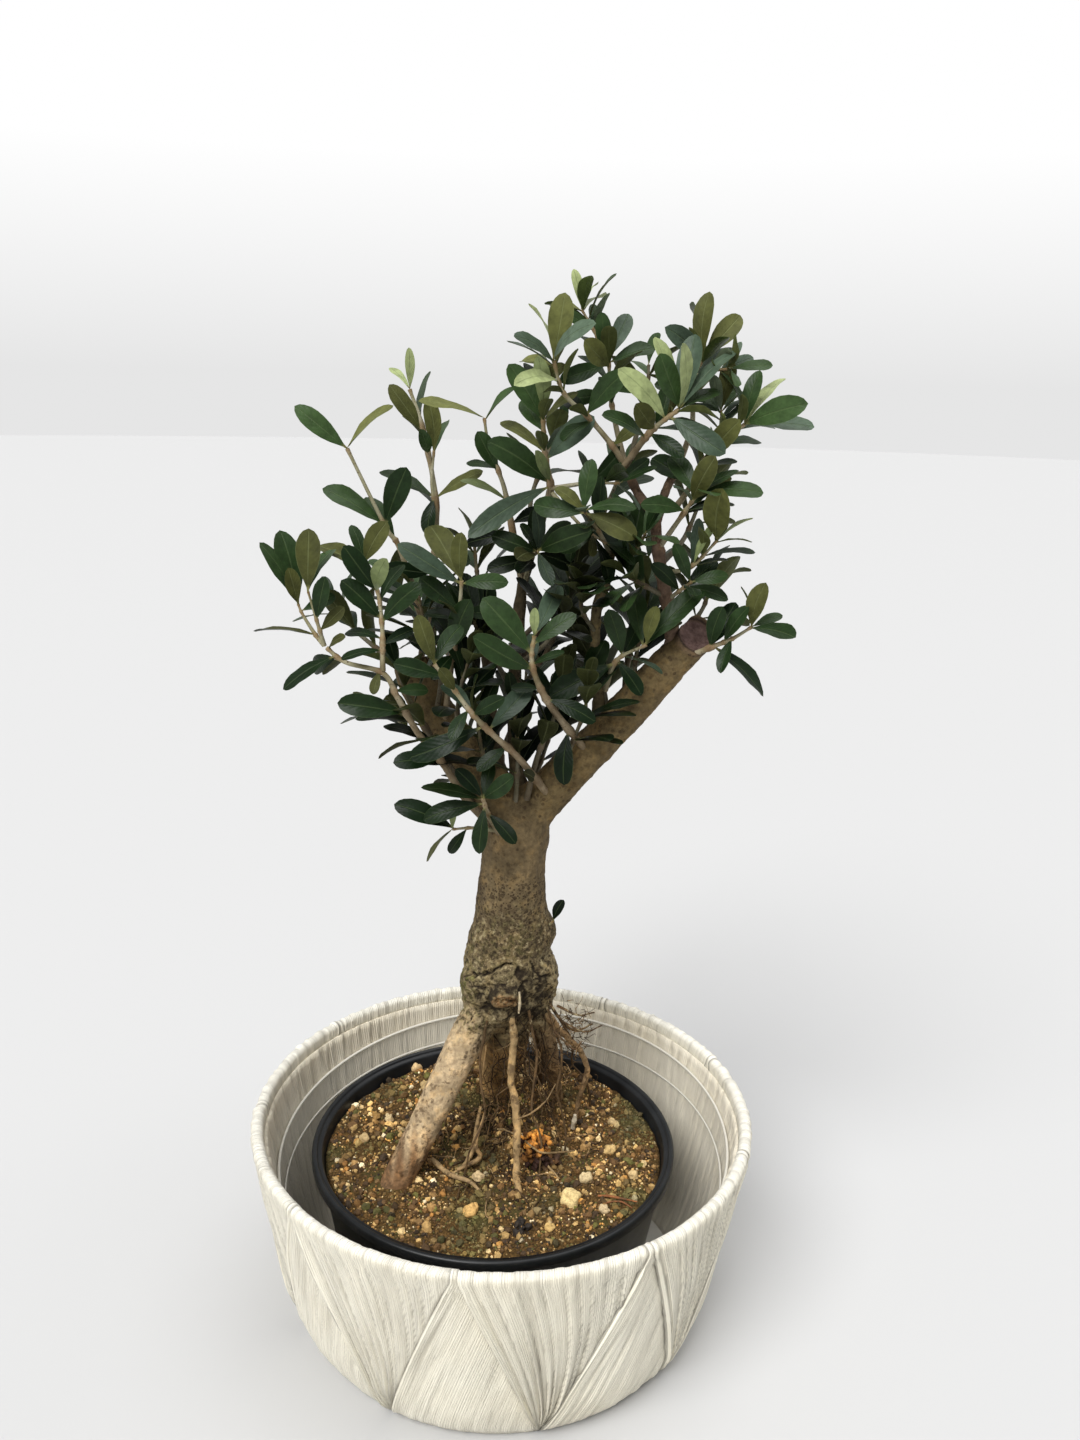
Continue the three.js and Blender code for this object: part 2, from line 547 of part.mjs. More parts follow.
// Each shoot is one or more sprigs that grow together. A sprig is [radius at its foot, stem points, leaves],
// a stem point is [x, z, y] as sighted on the plane, and a leaf is [station on the stem, tip x, tip z, depth
// of the tip from its foot, look]. A number in place of the leaves asks for that many opposite pairs by rule.
// A look's first letter is the turn of the face: b broad, n narrow, t thin. Its second is the tone: d dark,
// o olive, p pale, u bluish.
const SHOOTS = {
  left_high: [
    [1.8, [[-44, 340, 24], [-43, 366, 24], [-53, 400, 20], [-60, 411, 18], [-77, 446, 12]], [
      [4, -100, 465, -6, "bd"], [3.96, -57, 467, 2, "to"], [3, -88, 429, -4, "nd"],
      [3.05, -50, 438, -6, "bd"], [2.3, -69, 424, 10, "nd"], [1.2, -28, 378, 12, "bd"],
      [1.3, -62, 384, 12, "bd"]]],
  ],
  left_upright: [
    [1.8, [[-39, 332, 26], [-38, 380, 26], [-36, 420, 22], [-42, 455, 16], [-48, 473, 14]], [
      [2.1, -62, 437, 4, "nd"], [2.0, -50, 431, 8, "td"], [2.1, -14, 437, 0, "no"],
      [2.62, -43, 455, -8, "bd"], [3, -57, 475, -4, "bo"], [2.9, -51, 462, 4, "no"],
      [3.1, -39, 481, 2, "td"], [4, -57, 482, 2, "np"], [4, -48, 491, -5, "bp"],
      [1.2, -60, 392, 14, "bd"], [1.4, -20, 396, 14, "bd"]]],
    [1.2, [[-36, 419, 22], [-38, 432, 19], [-37, 446, 17]], [
      [2, -40, 469, -4, "bo"], [1.9, -31, 460, 6, "nd"], [0.4, -40, 407, -6, "bd"]]],
  ],
  mid_left_high: [
    [1.4, [[4, 387, 20], [-3, 424, 14], [-7, 437, 11], [-12, 450, 8], [-14, 461, 6]], [
      [4, -44, 468, -10, "to"], [3.9, 0, 475, 0, "td"], [2.0, -17, 455, -6, "bd"],
      [2.1, -22, 441, -4, "nd"], [1, -24, 434, -6, "np"], [0.7, 14, 420, 12, "bd"],
      [0.6, -22, 404, 4, "bd"]]],
  ],
  centre_top: [
    [1.7, [[16, 425, 12], [17, 432, 9], [14, 446, 7], [13, 460, 5], [12, 475, 4]], [
      [1, -12, 451, -10, "bd"], [1.1, 10, 447, -16, "bp"], [0.9, -21, 407, -24, "bu"],
      [3, -3, 485, -6, "bd"], [3.2, 10, 489, -12, "bp"], [4, 22, 486, -4, "bo"],
      [1.8, 36, 463, -8, "bu"], [2, -6, 461, 8, "no"], [2.7, 3, 470, 10, "bd"]]],
    [1.2, [[17, 430, 9], [35, 433, 3], [49, 433, -2]], [
      [2, 66, 441, 2, "nd"], [1, 30, 448, 6, "nd"], [1.1, 42, 417, -2, "nd"]]],
    [1.1, [[18, 428, 9], [32, 413, 0], [44, 405, -8]], [
      [2, 58, 396, -4, "nd"], [1, 27, 396, -6, "nd"]]],
  ],
  centre_upper: [
    [1.6, [[52, 440, 5], [45, 450, 3], [34, 462, 1], [22, 473, -1], [17, 487, -3]], [
      [4, 21, 516, -4, "bo"], [4, 7, 512, 0, "tp"], [3.9, -1, 497, -8, "nu"], [3.8, 2, 488, -10, "no"],
      [3.3, 1, 478, -10, "np"], [4, 33, 504, -2, "nu"], [2.1, 49, 483, -10, "bd"],
      [1.9, 22, 452, -6, "nd"], [1, 58, 461, -8, "bo"]]],
  ],
  top_cluster: [
    [1.5, [[51, 442, 5], [46, 460, 9], [43, 474, 12], [42, 488, 12]], [
      [3, 38, 508, -6, "bd"], [3, 50, 508, 2, "bu"], [2.9, 20, 478, -8, "bd"], [2.8, 31, 496, -8, "bo"],
      [2.9, 62, 494, 4, "nd"], [2, 61, 478, 8, "bd"], [1.9, 25, 470, 12, "bd"]]],
    [1, [[42, 487, 12], [35, 500, 13], [29, 509, 13]], [
      [2, 25, 526, 0, "bp"], [2, 35, 521, 5, "np"], [1.9, 39, 515, 10, "tp"], [1.1, 22, 508, -5, "bd"],
      [0.8, 34, 512, -8, "bd"]]],
  ],
  right_upper: [
    [1.8, [[51, 441, 2], [60, 454, -4], [67, 461, -8], [75, 467, -10]], [
      [2.2, 47, 484, -10, "bp"], [3, 65, 491, -3, "bd"], [3, 98, 495, 4, "nu"], [3, 93, 476, -6, "nd"],
      [2.6, 62, 498, 8, "np"], [3, 80, 500, -8, "bu"], [2.9, 74, 496, -12, "np"],
      [2.5, 97, 448, -14, "bu"], [1.5, 55, 469, -12, "bo"], [1, 42, 465, -12, "nd"],
      [1.2, 78, 446, -10, "bd"]]],
  ],
  right_tall: [
    [1.6, [[75, 439, 14], [81, 460, 17], [80, 478, 15], [84, 489, 14]], [
      [3, 85, 518, 0, "bo"], [3, 100, 509, -4, "bo"], [2.9, 79, 513, 6, "to"], [2.9, 68, 502, 4, "bu"],
      [1.8, 63, 478, 6, "bd"], [1.5, 100, 476, 12, "bd"]]],
    [0.95, [[80, 481, 15], [88, 484, 9], [96, 485, 4]], [
      [2, 116, 487, -4, "nd"], [1.8, 101, 497, 8, "bu"]]],
  ],
  right_far: [
    [1.6, [[75, 422, 4], [81, 431, 2], [90, 448, -2], [105, 461, -6]], [
      [3, 110, 485, 0, "bd"], [3, 121, 483, 4, "np"], [2.95, 132, 471, -2, "bd"],
      [3, 137, 460, -10, "nu"], [1.8, 103, 463, -16, "bo"], [1.2, 63, 446, 12, "bd"]]],
    [0.95, [[90, 447, -2], [94, 458, 4], [94, 467, 7]], [
      [2, 97, 489, -4, "bo"], [1.8, 83, 476, -4, "nd"]]],
  ],
  right_mid: [
    [1.4, [[69, 404, 0], [80, 421, -10], [86, 430, -16]], [
      [2, 116, 431, -2, "nd"], [1.4, 92, 446, -14, "bo"], [0.9, 98, 425, 2, "nd"],
      [1.8, 72, 446, -8, "bd"], [1, 60, 424, -10, "bd"]]],
    [1.2, [[70, 392, 1], [84, 395, -6], [96, 408, -10]], [
      [2, 97, 432, -4, "bo"], [1.1, 94, 416, -8, "np"], [1.9, 111, 420, 0, "tp"],
      [1.4, 84, 412, 6, "bd"]]],
  ],
  centre_olive: [
    [1.3, [[46, 400, 2], [40, 411, -9], [33, 420, -17]], [
      [1.9, 58, 409, -8, "bo"], [2, 57, 423, 8, "nd"], [2, 36, 444, 2, "bd"], [1.9, 9, 423, 4, "bd"],
      [1, 55, 424, 4, "bd"], [1.1, 22, 401, -2, "bd"]]],
  ],
  centre_mid: [
    [1.3, [[5, 383, 22], [9, 397, 6], [12, 401, -4]], [
      [2, 36, 411, -6, "bd"], [1.9, -10, 408, -4, "bd"], [1.5, 30, 394, 4, "bd"],
      [1.1, -12, 392, -6, "bd"], [1.9, 19, 384, -14, "bu"]]],
  ],
  left_low_twig: [
    [2.1, [[-8, 262, 2], [-22, 277, -6], [-33, 295, -9], [-45, 310, -12], [-55, 328, -14], [-62, 340, -15],
      [-80, 345, -14], [-89, 352, -13]], [
      [6.4, -111, 331, -4, "nd"], [5.1, -67, 329, -8, "bo"], [6.9, -80, 358, -8, "no"],
      [3.6, -84, 325, -8, "bd"], [2.1, -57, 295, -10, "bd"], [6.3, -97, 341, 8, "bd"],
      [4.2, -40, 332, 6, "bd"]]],
  ],
  left_tip: [
    [1.2, [[-90, 353, -13], [-94, 358, -12], [-100, 368, -11], [-102, 373, -11]], [
      [1, -124, 360, -6, "to"], [3, -106, 390, -6, "bo"], [3, -109, 408, 3, "bd"],
      [2.9, -119, 402, 9, "nd"], [2.2, -84, 378, 8, "bd"]]],
    [1.1, [[-90, 353, -13], [-93, 364, -17], [-97, 379, -20]], [
      [2, -96, 409, 2, "bo"], [1.1, -89, 386, -6, "bd"], [0.7, -80, 372, -6, "bo"],
      [2, -85, 401, 12, "nd"]]],
  ],
  left_upright_low: [
    [1.4, [[-62, 341, -15], [-62, 350, -14], [-62, 363, -12], [-64, 380, -10], [-70, 393, -8]], [
      [2.2, -81, 385, -2, "bd"], [2.1, -44, 384, -6, "bd"], [3.6, -92, 403, 3, "no"],
      [3, -79, 401, -8, "bd"], [3, -59, 396, -10, "bp"], [2.7, -51, 393, 6, "nd"],
      [4, -76, 411, 6, "bd"], [4, -59, 413, -4, "bo"], [1.1, -82, 347, -10, "nd"],
      [1.6, -80, 360, 8, "nd"], [1.3, -47, 362, 8, "bd"]]],
  ],
  left_twig_second: [
    [1.9, [[-14, 268, 8], [-28, 291, 5], [-40, 311, 3], [-50, 329, 2], [-55, 344, 2]], 5],
  ],
  low_front: [
    [1.7, [[-4, 258, 0], [-10, 268, -9], [-13, 277, -16]], [
      [2, -27, 292, -4, "bd"], [2, -9, 296, 4, "bd"], [2, 3, 289, -8, "bd"], [1.5, -15, 247, -8, "bd"],
      [1.1, 4, 253, -8, "bd"], [1.7, -43, 265, -4, "bd"], [1.9, -44, 281, 6, "nd"]]],
    [1.2, [[-6, 260, 0], [-18, 261, -8], [-28, 260, -12]], [
      [1.9, -57, 273, -2, "bd"], [1.95, -28, 273, -6, "bp"], [2, -41, 242, -6, "to"],
      [1.2, -30, 247, 2, "bd"]]],
  ],
  front_left: [
    [1.9, [[20, 279, 4], [5, 298, -14], [-8, 310, -22], [-18, 320, -27], [-27, 332, -29], [-37, 345, -30]], [
      [3.2, -29, 307, -12, "bd"], [3, -4, 329, -12, "bd"], [4, -35, 343, -10, "bo"],
      [5, -45, 369, -4, "bo"], [4.6, -57, 345, -6, "bd"], [2.4, -50, 297, -6, "bd"],
      [2.2, 10, 336, 6, "bu"], [0.5, 8, 291, -12, "bo"], [5, -24, 365, 8, "bd"],
      [1.4, -16, 291, -8, "bd"]]],
  ],
  front_centre: [
    [1.9, [[37, 304, 2], [20, 325, -17], [12, 340, -23], [10, 350, -25], [11, 360, -26]], [
      [4, 11, 374, -5, "bp"], [3.1, -14, 378, -8, "bd"], [2.3, -19, 359, -12, "bd"],
      [3.6, 31, 371, -4, "bd"], [2.6, 26, 352, -6, "nd"], [0.4, 27, 285, -10, "bd"],
      [1.2, 42, 318, -6, "bd"], [4, 22, 385, 8, "bu"], [1.6, 0, 334, 4, "bd"]]],
  ],
  front_high: [
    [1.7, [[-32, 318, 14], [-28, 350, 2], [-25, 372, -8], [-24, 386, -12]], [
      [3, -24, 409, -5, "bp"], [2.9, -54, 403, -8, "bu"], [2.9, -2, 386, -6, "bd"],
      [2, -44, 387, 2, "bd"], [1.9, -5, 370, 6, "bd"], [3, -39, 413, 6, "bp"], [1, -38, 338, -12, "bd"],
      [1.1, -20, 377, -14, "bd"]]],
  ],
  right_end: [
    [1.5, [[86, 352, -4], [97, 357, -6], [106, 361, -7], [115, 367, -8]], [
      [1, 126, 330, -4, "nd"], [0.8, 108, 381, 8, "bd"], [1.5, 114, 379, -8, "bd"],
      [3, 109, 389, 2, "td"], [3, 120, 390, -4, "bo"], [2.95, 131, 374, 4, "bd"],
      [2.9, 139, 362, -8, "nd"], [0.9, 88, 374, -10, "bd"], [2, 101, 342, 8, "bd"]]],
  ],
  right_over_limb: [
    [1.3, [[73, 378, 3], [80, 384, -4], [85, 388, -8]], [
      [2, 102, 392, -2, "bd"], [1.3, 103, 380, -4, "bd"], [1.9, 76, 406, -4, "bd"],
      [0.9, 66, 396, -8, "bd"]]],
  ],
  over_right_limb: [
    [1.4, [[46, 334, 2], [51, 349, -6], [65, 357, -12]], [
      [2, 69, 376, -3, "bo"], [2, 81, 370, -6, "no"], [1.9, 91, 387, 6, "bd"], [1, 64, 332, -6, "bd"],
      [0.9, 19, 330, -14, "bd"], [1.2, 46, 374, -4, "bd"], [1.9, 58, 384, 6, "bd"]]],
  ],
  heart_low: [[1.6, [[9, 277, 2], [14, 300, -6], [21, 318, -4], [26, 338, -2]], 4]],
  heart_left: [[1.5, [[-36, 320, 12], [-34, 340, 8], [-40, 358, 6], [-44, 374, 6]], 5]],
  heart_inner: [[1.5, [[2, 330, 23], [-6, 345, 10], [-14, 358, 2], [-18, 366, -2]], 4]],
  heart_right: [[1.5, [[3, 345, 24], [18, 358, 10], [26, 374, 3], [30, 388, 2]], 4]],
  heart_upright: [[1.3, [[41, 362, 5], [34, 372, -4], [32, 384, -10]], 3]],
  heart_fork: [[1.4, [[45, 392, 2], [56, 400, -4], [62, 410, -10]], 3]],
  heart_red: [[1.4, [[74, 380, 2], [62, 386, -2], [54, 390, -6]], 3]],
  heart_limb: [[1.4, [[64, 328, 4], [60, 345, 8], [62, 362, 8], [64, 374, 8]], 4]],
  back_top: [[1.6, [[-12, 368, 66], [-16, 385, 72], [-18, 402, 76]], 3]],
  back_left: [[1.8, [[-10, 330, 53], [-30, 350, 66], [-46, 368, 74], [-56, 384, 78]], 3]],
  back_right: [[1.8, [[-11, 345, 59], [8, 362, 72], [20, 378, 80], [28, 392, 86]], 3]],
  back_limb_left: [[1.7, [[-44, 332, 30], [-60, 348, 42], [-74, 360, 50], [-84, 372, 54]], 3]],
  back_limb_low: [[1.5, [[-22, 300, 24], [-36, 305, 38], [-50, 312, 46], [-60, 322, 50]], 3]],
  back_limb_right: [[1.6, [[80, 350, 8], [86, 366, 22], [92, 378, 34], [94, 392, 42]], 3]],
  back_over_limb: [[1.8, [[56, 322, 12], [56, 345, 32], [60, 372, 48], [64, 398, 58]], 4]],
  back_centre: [[1.8, [[2, 342, 27], [18, 372, 40], [34, 398, 50], [44, 424, 56], [50, 440, 58]], 4]],
  back_low: [[1.6, [[0, 258, 22], [-12, 280, 42], [-22, 298, 56]], 4]],
  back_low_right: [[1.6, [[36, 296, 14], [40, 310, 32], [44, 328, 48], [46, 342, 56]], 4]],
  back_deep: [[1.6, [[-6, 296, 38], [0, 312, 60], [6, 330, 74], [8, 346, 80]], 4]],
  back_crown: [[1.5, [[52, 438, 5], [56, 456, 24], [60, 474, 34], [60, 486, 38]], 2]],
  back_red: [[1.5, [[70, 396, 3], [80, 408, 24], [86, 424, 36], [90, 440, 44]], 3]],
  back_high_left: [[1.4, [[10, 404, 19], [8, 424, 34], [14, 442, 42], [20, 456, 46]], 2]],
  deep_left: [[1.5, [[0, 318, 22], [-12, 336, 32], [-24, 352, 38], [-30, 364, 40]], 5]],
  deep_right: [[1.5, [[48, 313, 8], [46, 332, 24], [40, 348, 32], [36, 360, 36]], 5]],
  deep_middle: [[1.5, [[3, 330, 23], [12, 344, 34], [20, 358, 40], [24, 370, 42]], 5]],
  low_right_limb: [[1.4, [[27, 288, 11], [30, 304, -2], [36, 322, -8], [38, 336, -10]], 4]],
  low_left_limb: [[1.4, [[-24, 302, 19], [-26, 318, 6], [-24, 334, -2], [-20, 348, -6]], 4]],
  fork_left: [[1.4, [[-4, 272, 10], [-10, 288, 2], [-14, 304, -2], [-16, 318, -4]], 4]],
  fork_middle: [[1.4, [[3, 268, 8], [4, 286, 0], [4, 304, -3], [2, 322, -4]], 4]],
  fork_deep: [[1.5, [[6, 270, 20], [14, 292, 32], [20, 312, 40], [24, 330, 44]], 4]],
  trunk_sprout: [[0.9, [[17, 207, 8], [22, 209, 6], [24, 211, 5]], [[2, 29, 223, -2, "bd"]]]],
};

// A seeded source of numbers from 0 to 1.
let seed = 20417;
function chance() {
  seed = (Math.imul(seed, 1664525) + 1013904223) >>> 0;
  return seed / 4294967296;
}

// The point, and the direction, at a station of a stem: its whole numbers are the stem's points.
function atStation(line, station) {
  const place = Math.min(station, line.length - 1 - 1e-6);
  const i = Math.floor(place);
  const point = line[i].clone().lerp(line[i + 1], place - i);
  const direction = line[i + 1].clone().sub(line[i]).normalize();
  return { point, direction };
}

const square = (vector, axis) => vector.clone().addScaledVector(axis, -vector.dot(axis)).normalize();

// A blade from its two ends, the way that it faces, and its width for its length.
function bladeBetween(foot, tip, face, widthShare) {
  const axis = tip.clone().sub(foot);
  const length = axis.length();
  axis.normalize();
  return {
    foot,
    axis,
    length,
    face: square(face, axis),
    width: Math.min(WIDEST_BLADE, length * widthShare),
  };
}

// A leaf that is given by its tip, bent nearer or farther by some millimetres to stand clear.
function placedBlade(line, [station, x, z, depth, look], bend) {
  const { point } = atStation(line, station);
  const tip = sighted(x, z, point.y + depth + bend);
  const axis = tip.clone().sub(point).normalize();
  const toEye = square(vec(...EYE).sub(point), axis);
  const turn = radians(TURN[look[0]]);
  const oneWay = toEye.clone().applyAxisAngle(axis, turn);
  const otherWay = toEye.clone().applyAxisAngle(axis, -turn);
  const face = oneWay.z > otherWay.z ? oneWay : otherWay;
  return bladeBetween(point, tip, face, look[1] === "p" ? YOUNG_WIDTH : PLACED_WIDTH);
}

// The leaves of a sprig by rule: opposite pairs, each turned a quarter from the last, smaller to the tip.
function ruledLeaves(points, pairs) {
  const leaves = [];
  const start = chance() * 360;
  const last = points.length - 1;
  for (let pair = 0; pair < pairs; pair++) {
    const station = last * (PAIR_START + ((1 - PAIR_START) * (pair + 0.5)) / pairs);
    for (const side of [0, 180]) {
      const roll = start + pair * 90 + side + (chance() - 0.5) * PAIR_JITTER;
      const length = (SHORTEST_RULED + chance() * RULED_SPREAD) * (pair === pairs - 1 ? LAST_PAIR : 1);
      const lean = LEAST_LEAN + chance() * LEAN_SPREAD - pair * 2;
      leaves.push({ station, roll, length, lean });
    }
  }
  // The young leaf at the tip stands on along the stem.
  leaves.push({ station: last, roll: start, length: 17 + chance() * 6, lean: 16 });
  return leaves;
}

function ruledBlade(line, { station, roll, length, lean }, turn) {
  const { point, direction } = atStation(line, station);
  const start = square(vec(0, 0.3, 1), direction);
  const out = start.applyAxisAngle(direction, radians(roll + turn));
  const axis = direction.clone().multiplyScalar(Math.cos(radians(lean)));
  axis.addScaledVector(out, Math.sin(radians(lean))).normalize();
  const tip = point.clone().addScaledVector(axis, length);
  const face = direction.clone().multiplyScalar(0.9).addScaledVector(vec(0, 0, 1), 0.6);
  return bladeBetween(point, tip, face, RULED_WIDTH);
}

// Points over a blade from a third of its length to its tip, which others keep clear of.
function bladePoints(blade) {
  const side = blade.axis.clone().cross(blade.face);
  const points = [];
  for (const share of [0.3, 0.47, 0.64, 0.82, 1]) {
    const middle = blade.foot.clone().addScaledVector(blade.axis, blade.length * share);
    middle.addScaledVector(blade.face, blade.length * BLADE_ARCH * 4 * share * (1 - share));
    const reach = share === 1 ? 0 : (blade.width / 2) * 0.9;
    for (const way of reach ? [-1, 0, 1] : [0])
      points.push(middle.clone().addScaledVector(side, way * reach));
  }
  return points;
}

function clearance(points, taken, own) {
  let least = Infinity;
  for (const other of taken) {
    if (other.sprig === own) continue;
    if (other.centre.distanceTo(points[6]) > 30 + other.reach) continue;
    for (const place of other.places)
      for (const point of points) {
        const room = point.distanceTo(place.point) - place.room;
        if (room < least) least = room;
      }
  }
  return least;
}

// What the leaves keep clear of: first the wood and every stem, then the leaves set so far.
function takenBy(line, radii, sprig) {
  const places = line.map((point, i) => {
    const radius = along(radii.map((r, k) => [k, r]), (i / (line.length - 1)) * (radii.length - 1));
    return { point, room: radius + WOOD_ROOM };
  });
  return surrounded(places, sprig);
}

function surrounded(places, sprig) {
  const centre = new THREE.Vector3();
  for (const place of places) centre.addScaledVector(place.point, 1 / places.length);
  const reach = Math.max(...places.map((place) => place.point.distanceTo(centre) + place.room));
  return { centre, reach, places, sprig };
}

function growCrown() {
  const taken = [...Object.values(LIMBS), ...Object.values(BRANCHES)].map(([, radii, points]) =>
    takenBy(smoothLine(points.map(on), 6), radii, "wood"),
  );
  const trunkLine = TRUNK.map(([height, x]) => vec(x, TRUNK_Y, height));
  taken.push(takenBy(trunkLine, TRUNK.map(([, , radius]) => radius), "wood"));
  const sprigs = [];
  for (const [shoot, list] of Object.entries(SHOOTS))
    list.forEach(([radius, points, leaves], i) => {
      const line = smoothLine(points.map(on), 1);
      const sprig = { shoot, name: shoot + i, radius, points, line, blades: [], leaves };
      taken.push(takenBy(smoothLine(points.map(on), 8), [radius, radius * STEM_TAPER], sprig.name));
      sprigs.push(sprig);
    });
  for (const sprig of sprigs) {
    const byRule = typeof sprig.leaves === "number";
    const wanted = byRule ? ruledLeaves(sprig.points, sprig.leaves) : sprig.leaves;
    for (const leaf of wanted) {
      let best = null;
      for (const step of byRule ? ROLL_STEPS : DEPTH_STEPS) {
        const blade = byRule ? ruledBlade(sprig.line, leaf, step) : placedBlade(sprig.line, leaf, step);
        if (step !== 0 && blade.length > LONGEST_BLADE) continue;
        const points = bladePoints(blade);
        const room = clearance(points, taken, sprig.name);
        if (!best || room > best.room + 1e-9) best = { blade, points, room };
        if (room >= 0) break;
      }
      sprig.blades.push(best.blade);
      taken.push(surrounded(best.points.map((point) => ({ point, room: LEAF_ROOM })), "leaf"));
    }
  }
  return sprigs;
}

// One leaf as a closed solid: two points, and between them the sections of a thin arched blade, each flat
// on its upper face and keeled along the midrib below.
function bladeSolid({ foot, axis, length, face, width }, grow) {
  const side = axis.clone().cross(face);
  const place = (share, across, rise) => {
    const arch = length * BLADE_ARCH * 4 * share * (1 - share);
    return foot
      .clone()
      .addScaledVector(axis, share * length)
      .addScaledVector(face, arch + rise)
      .addScaledVector(side, across);
  };
  // Corners of a section, as [side, height]: a grown blade has upright edges, so that it covers the blade.
  const [top, under, keel] = [BLADE_TOP + grow, BLADE_TOP - grow, -BLADE_KEEL - grow];
  const below = grow ? [[-1, under], [0, keel], [1, under]] : [[0, keel]];
  const corners = [[1, top], [-1, top], ...below];
  const sections = BLADE_OUTLINE.map(([share, reach]) =>
    corners.map(([way, rise]) => place(share, way * ((reach * width) / 2 + grow), rise)),
  );
  const places = [place(0, 0, 0), ...sections.flat(), place(1 + (grow * 4) / length, 0, 0)];
  const count = corners.length;
  const end = places.length - 1;
  const index = [];
  for (let j = 0; j < count; j++) {
    const k = (j + 1) % count;
    index.push(0, 1 + j, 1 + k);
    for (let a = 1; a + count < end; a += count) {
      index.push(a + j, a + count + j, a + count + k);
      index.push(a + j, a + count + k, a + k);
    }
    index.push(end - count + j, end, end - count + k);
  }
  const geometry = new THREE.BufferGeometry();
  const positions = places.flatMap((p) => [p.x, p.y, p.z]);
  geometry.setAttribute("position", new THREE.Float32BufferAttribute(positions, 3));
  geometry.setIndex(index);
  return solidOf(geometry);
}

function sprigSolid(sprig, grow) {
  const sides = sprig.radius > STOUT_STEM ? 4 : 3;
  const stem = bar(sprig.points.map(on), [sprig.radius, sprig.radius * STEM_TAPER], sides, grow);
  return joined([stem, ...sprig.blades.map((blade) => bladeSolid(blade, grow))]);
}

// ---------------------------------------------------------------- the object

const group = new THREE.Group();
function piece(name, solid, color, roughness, extra = {}) {
  const material = new THREE.MeshStandardMaterial({ color, roughness, metalness: 0, ...extra });
  const mesh = new THREE.Mesh(geometryOf(solid), material);
  mesh.name = name;
  group.add(mesh);
}

const grownWood = wood(GAP);
piece("bowl_ribbon_wrap", bowlRibbonWrap(), 0xd9d3c2, 0.75);
piece("bowl_shell", bowlShell(), 0xc9c4b6, 0.6);
piece("bowl_liner", bowlLiner(), 0xe6e8e4, 0.15, { transparent: true, opacity: 0.35 });
piece("nursery_pot", nurseryPot(), 0x17191c, 0.45);
piece("potting_soil", pottingSoil(grownWood), 0x6f5637, 0.95);
piece("olive_trunk", settled(wood(0)), 0x8a7a66, 0.85);

const sprigs = growCrown();
const standing = [grownWood];
for (const shoot of Object.keys(SHOOTS)) {
  const own = sprigs.filter((sprig) => sprig.shoot === shoot);
  let solid = joined(own.map((sprig) => sprigSolid(sprig, 0)));
  for (const other of standing) solid = solid.subtract(other);
  piece("shoot_" + shoot, settled(solid), 0x3c4f35, 0.5);
  standing.push(joined(own.map((sprig) => sprigSolid(sprig, GAP))));
}

export default group;
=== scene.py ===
# %% [markdown]
# # An olive bonsai in a ribbon-wound bowl
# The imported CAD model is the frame: it gives every piece its place and size. This script gives the looks.
# Each step first says what the real piece is, how it could be made, and why this way was chosen.
# Measures are in millimetres, as a maker would take them, and MM turns them into Blender's metres.

# %% The frame
import math
import random

import bmesh
import bpy
import numpy as np
from mathutils import Matrix, Vector, noise


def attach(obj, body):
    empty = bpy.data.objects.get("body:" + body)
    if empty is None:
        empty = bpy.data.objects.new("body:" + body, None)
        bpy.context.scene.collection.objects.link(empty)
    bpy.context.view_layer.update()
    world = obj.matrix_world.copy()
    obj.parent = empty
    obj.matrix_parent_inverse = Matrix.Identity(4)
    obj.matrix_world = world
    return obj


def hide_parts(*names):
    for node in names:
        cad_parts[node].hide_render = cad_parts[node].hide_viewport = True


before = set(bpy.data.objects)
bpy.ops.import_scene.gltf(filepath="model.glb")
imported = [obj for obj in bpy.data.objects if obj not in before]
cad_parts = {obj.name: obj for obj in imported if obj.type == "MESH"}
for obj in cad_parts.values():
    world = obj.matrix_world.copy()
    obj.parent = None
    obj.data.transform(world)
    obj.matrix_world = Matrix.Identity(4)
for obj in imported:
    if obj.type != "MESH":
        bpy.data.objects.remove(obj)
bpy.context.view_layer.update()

MM = 0.001
NOISE_SEED = 12
noise.seed_set(NOISE_SEED)  # so that every run grows the same tree
print("CAD nodes:", len(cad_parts))

# %% [markdown]
# Four small helpers are used all over: one puts an object into the scene, one holds a value between 0 and
# 1, and two turn a hard change into a soft one.

# %% Small helpers
def placed(name, data):
    """A new object in the scene."""
    made = bpy.data.objects.new(name, data)
    bpy.context.scene.collection.objects.link(made)
    return made


def clamped(value):
    return min(1, max(0, value))


def smooth_step(low, high, value):
    """0 at low, 1 at high, and an eased step between, for a number or an array."""
    share = np.clip((value - low) / (high - low), 0, 1)
    return share * share * (3 - 2 * share)


def bell(value, middle, width):
    """1 at the middle, and nearly nothing two widths away."""
    return np.exp(-(((value - middle) / width) ** 2))


# %% [markdown]
# ## Camera, floor and light
# The eye stands some 0.57 m in front of the trunk and looks down on the soil by 16 degrees. A camera is
# easiest to place by three square directions: right, up and forward.

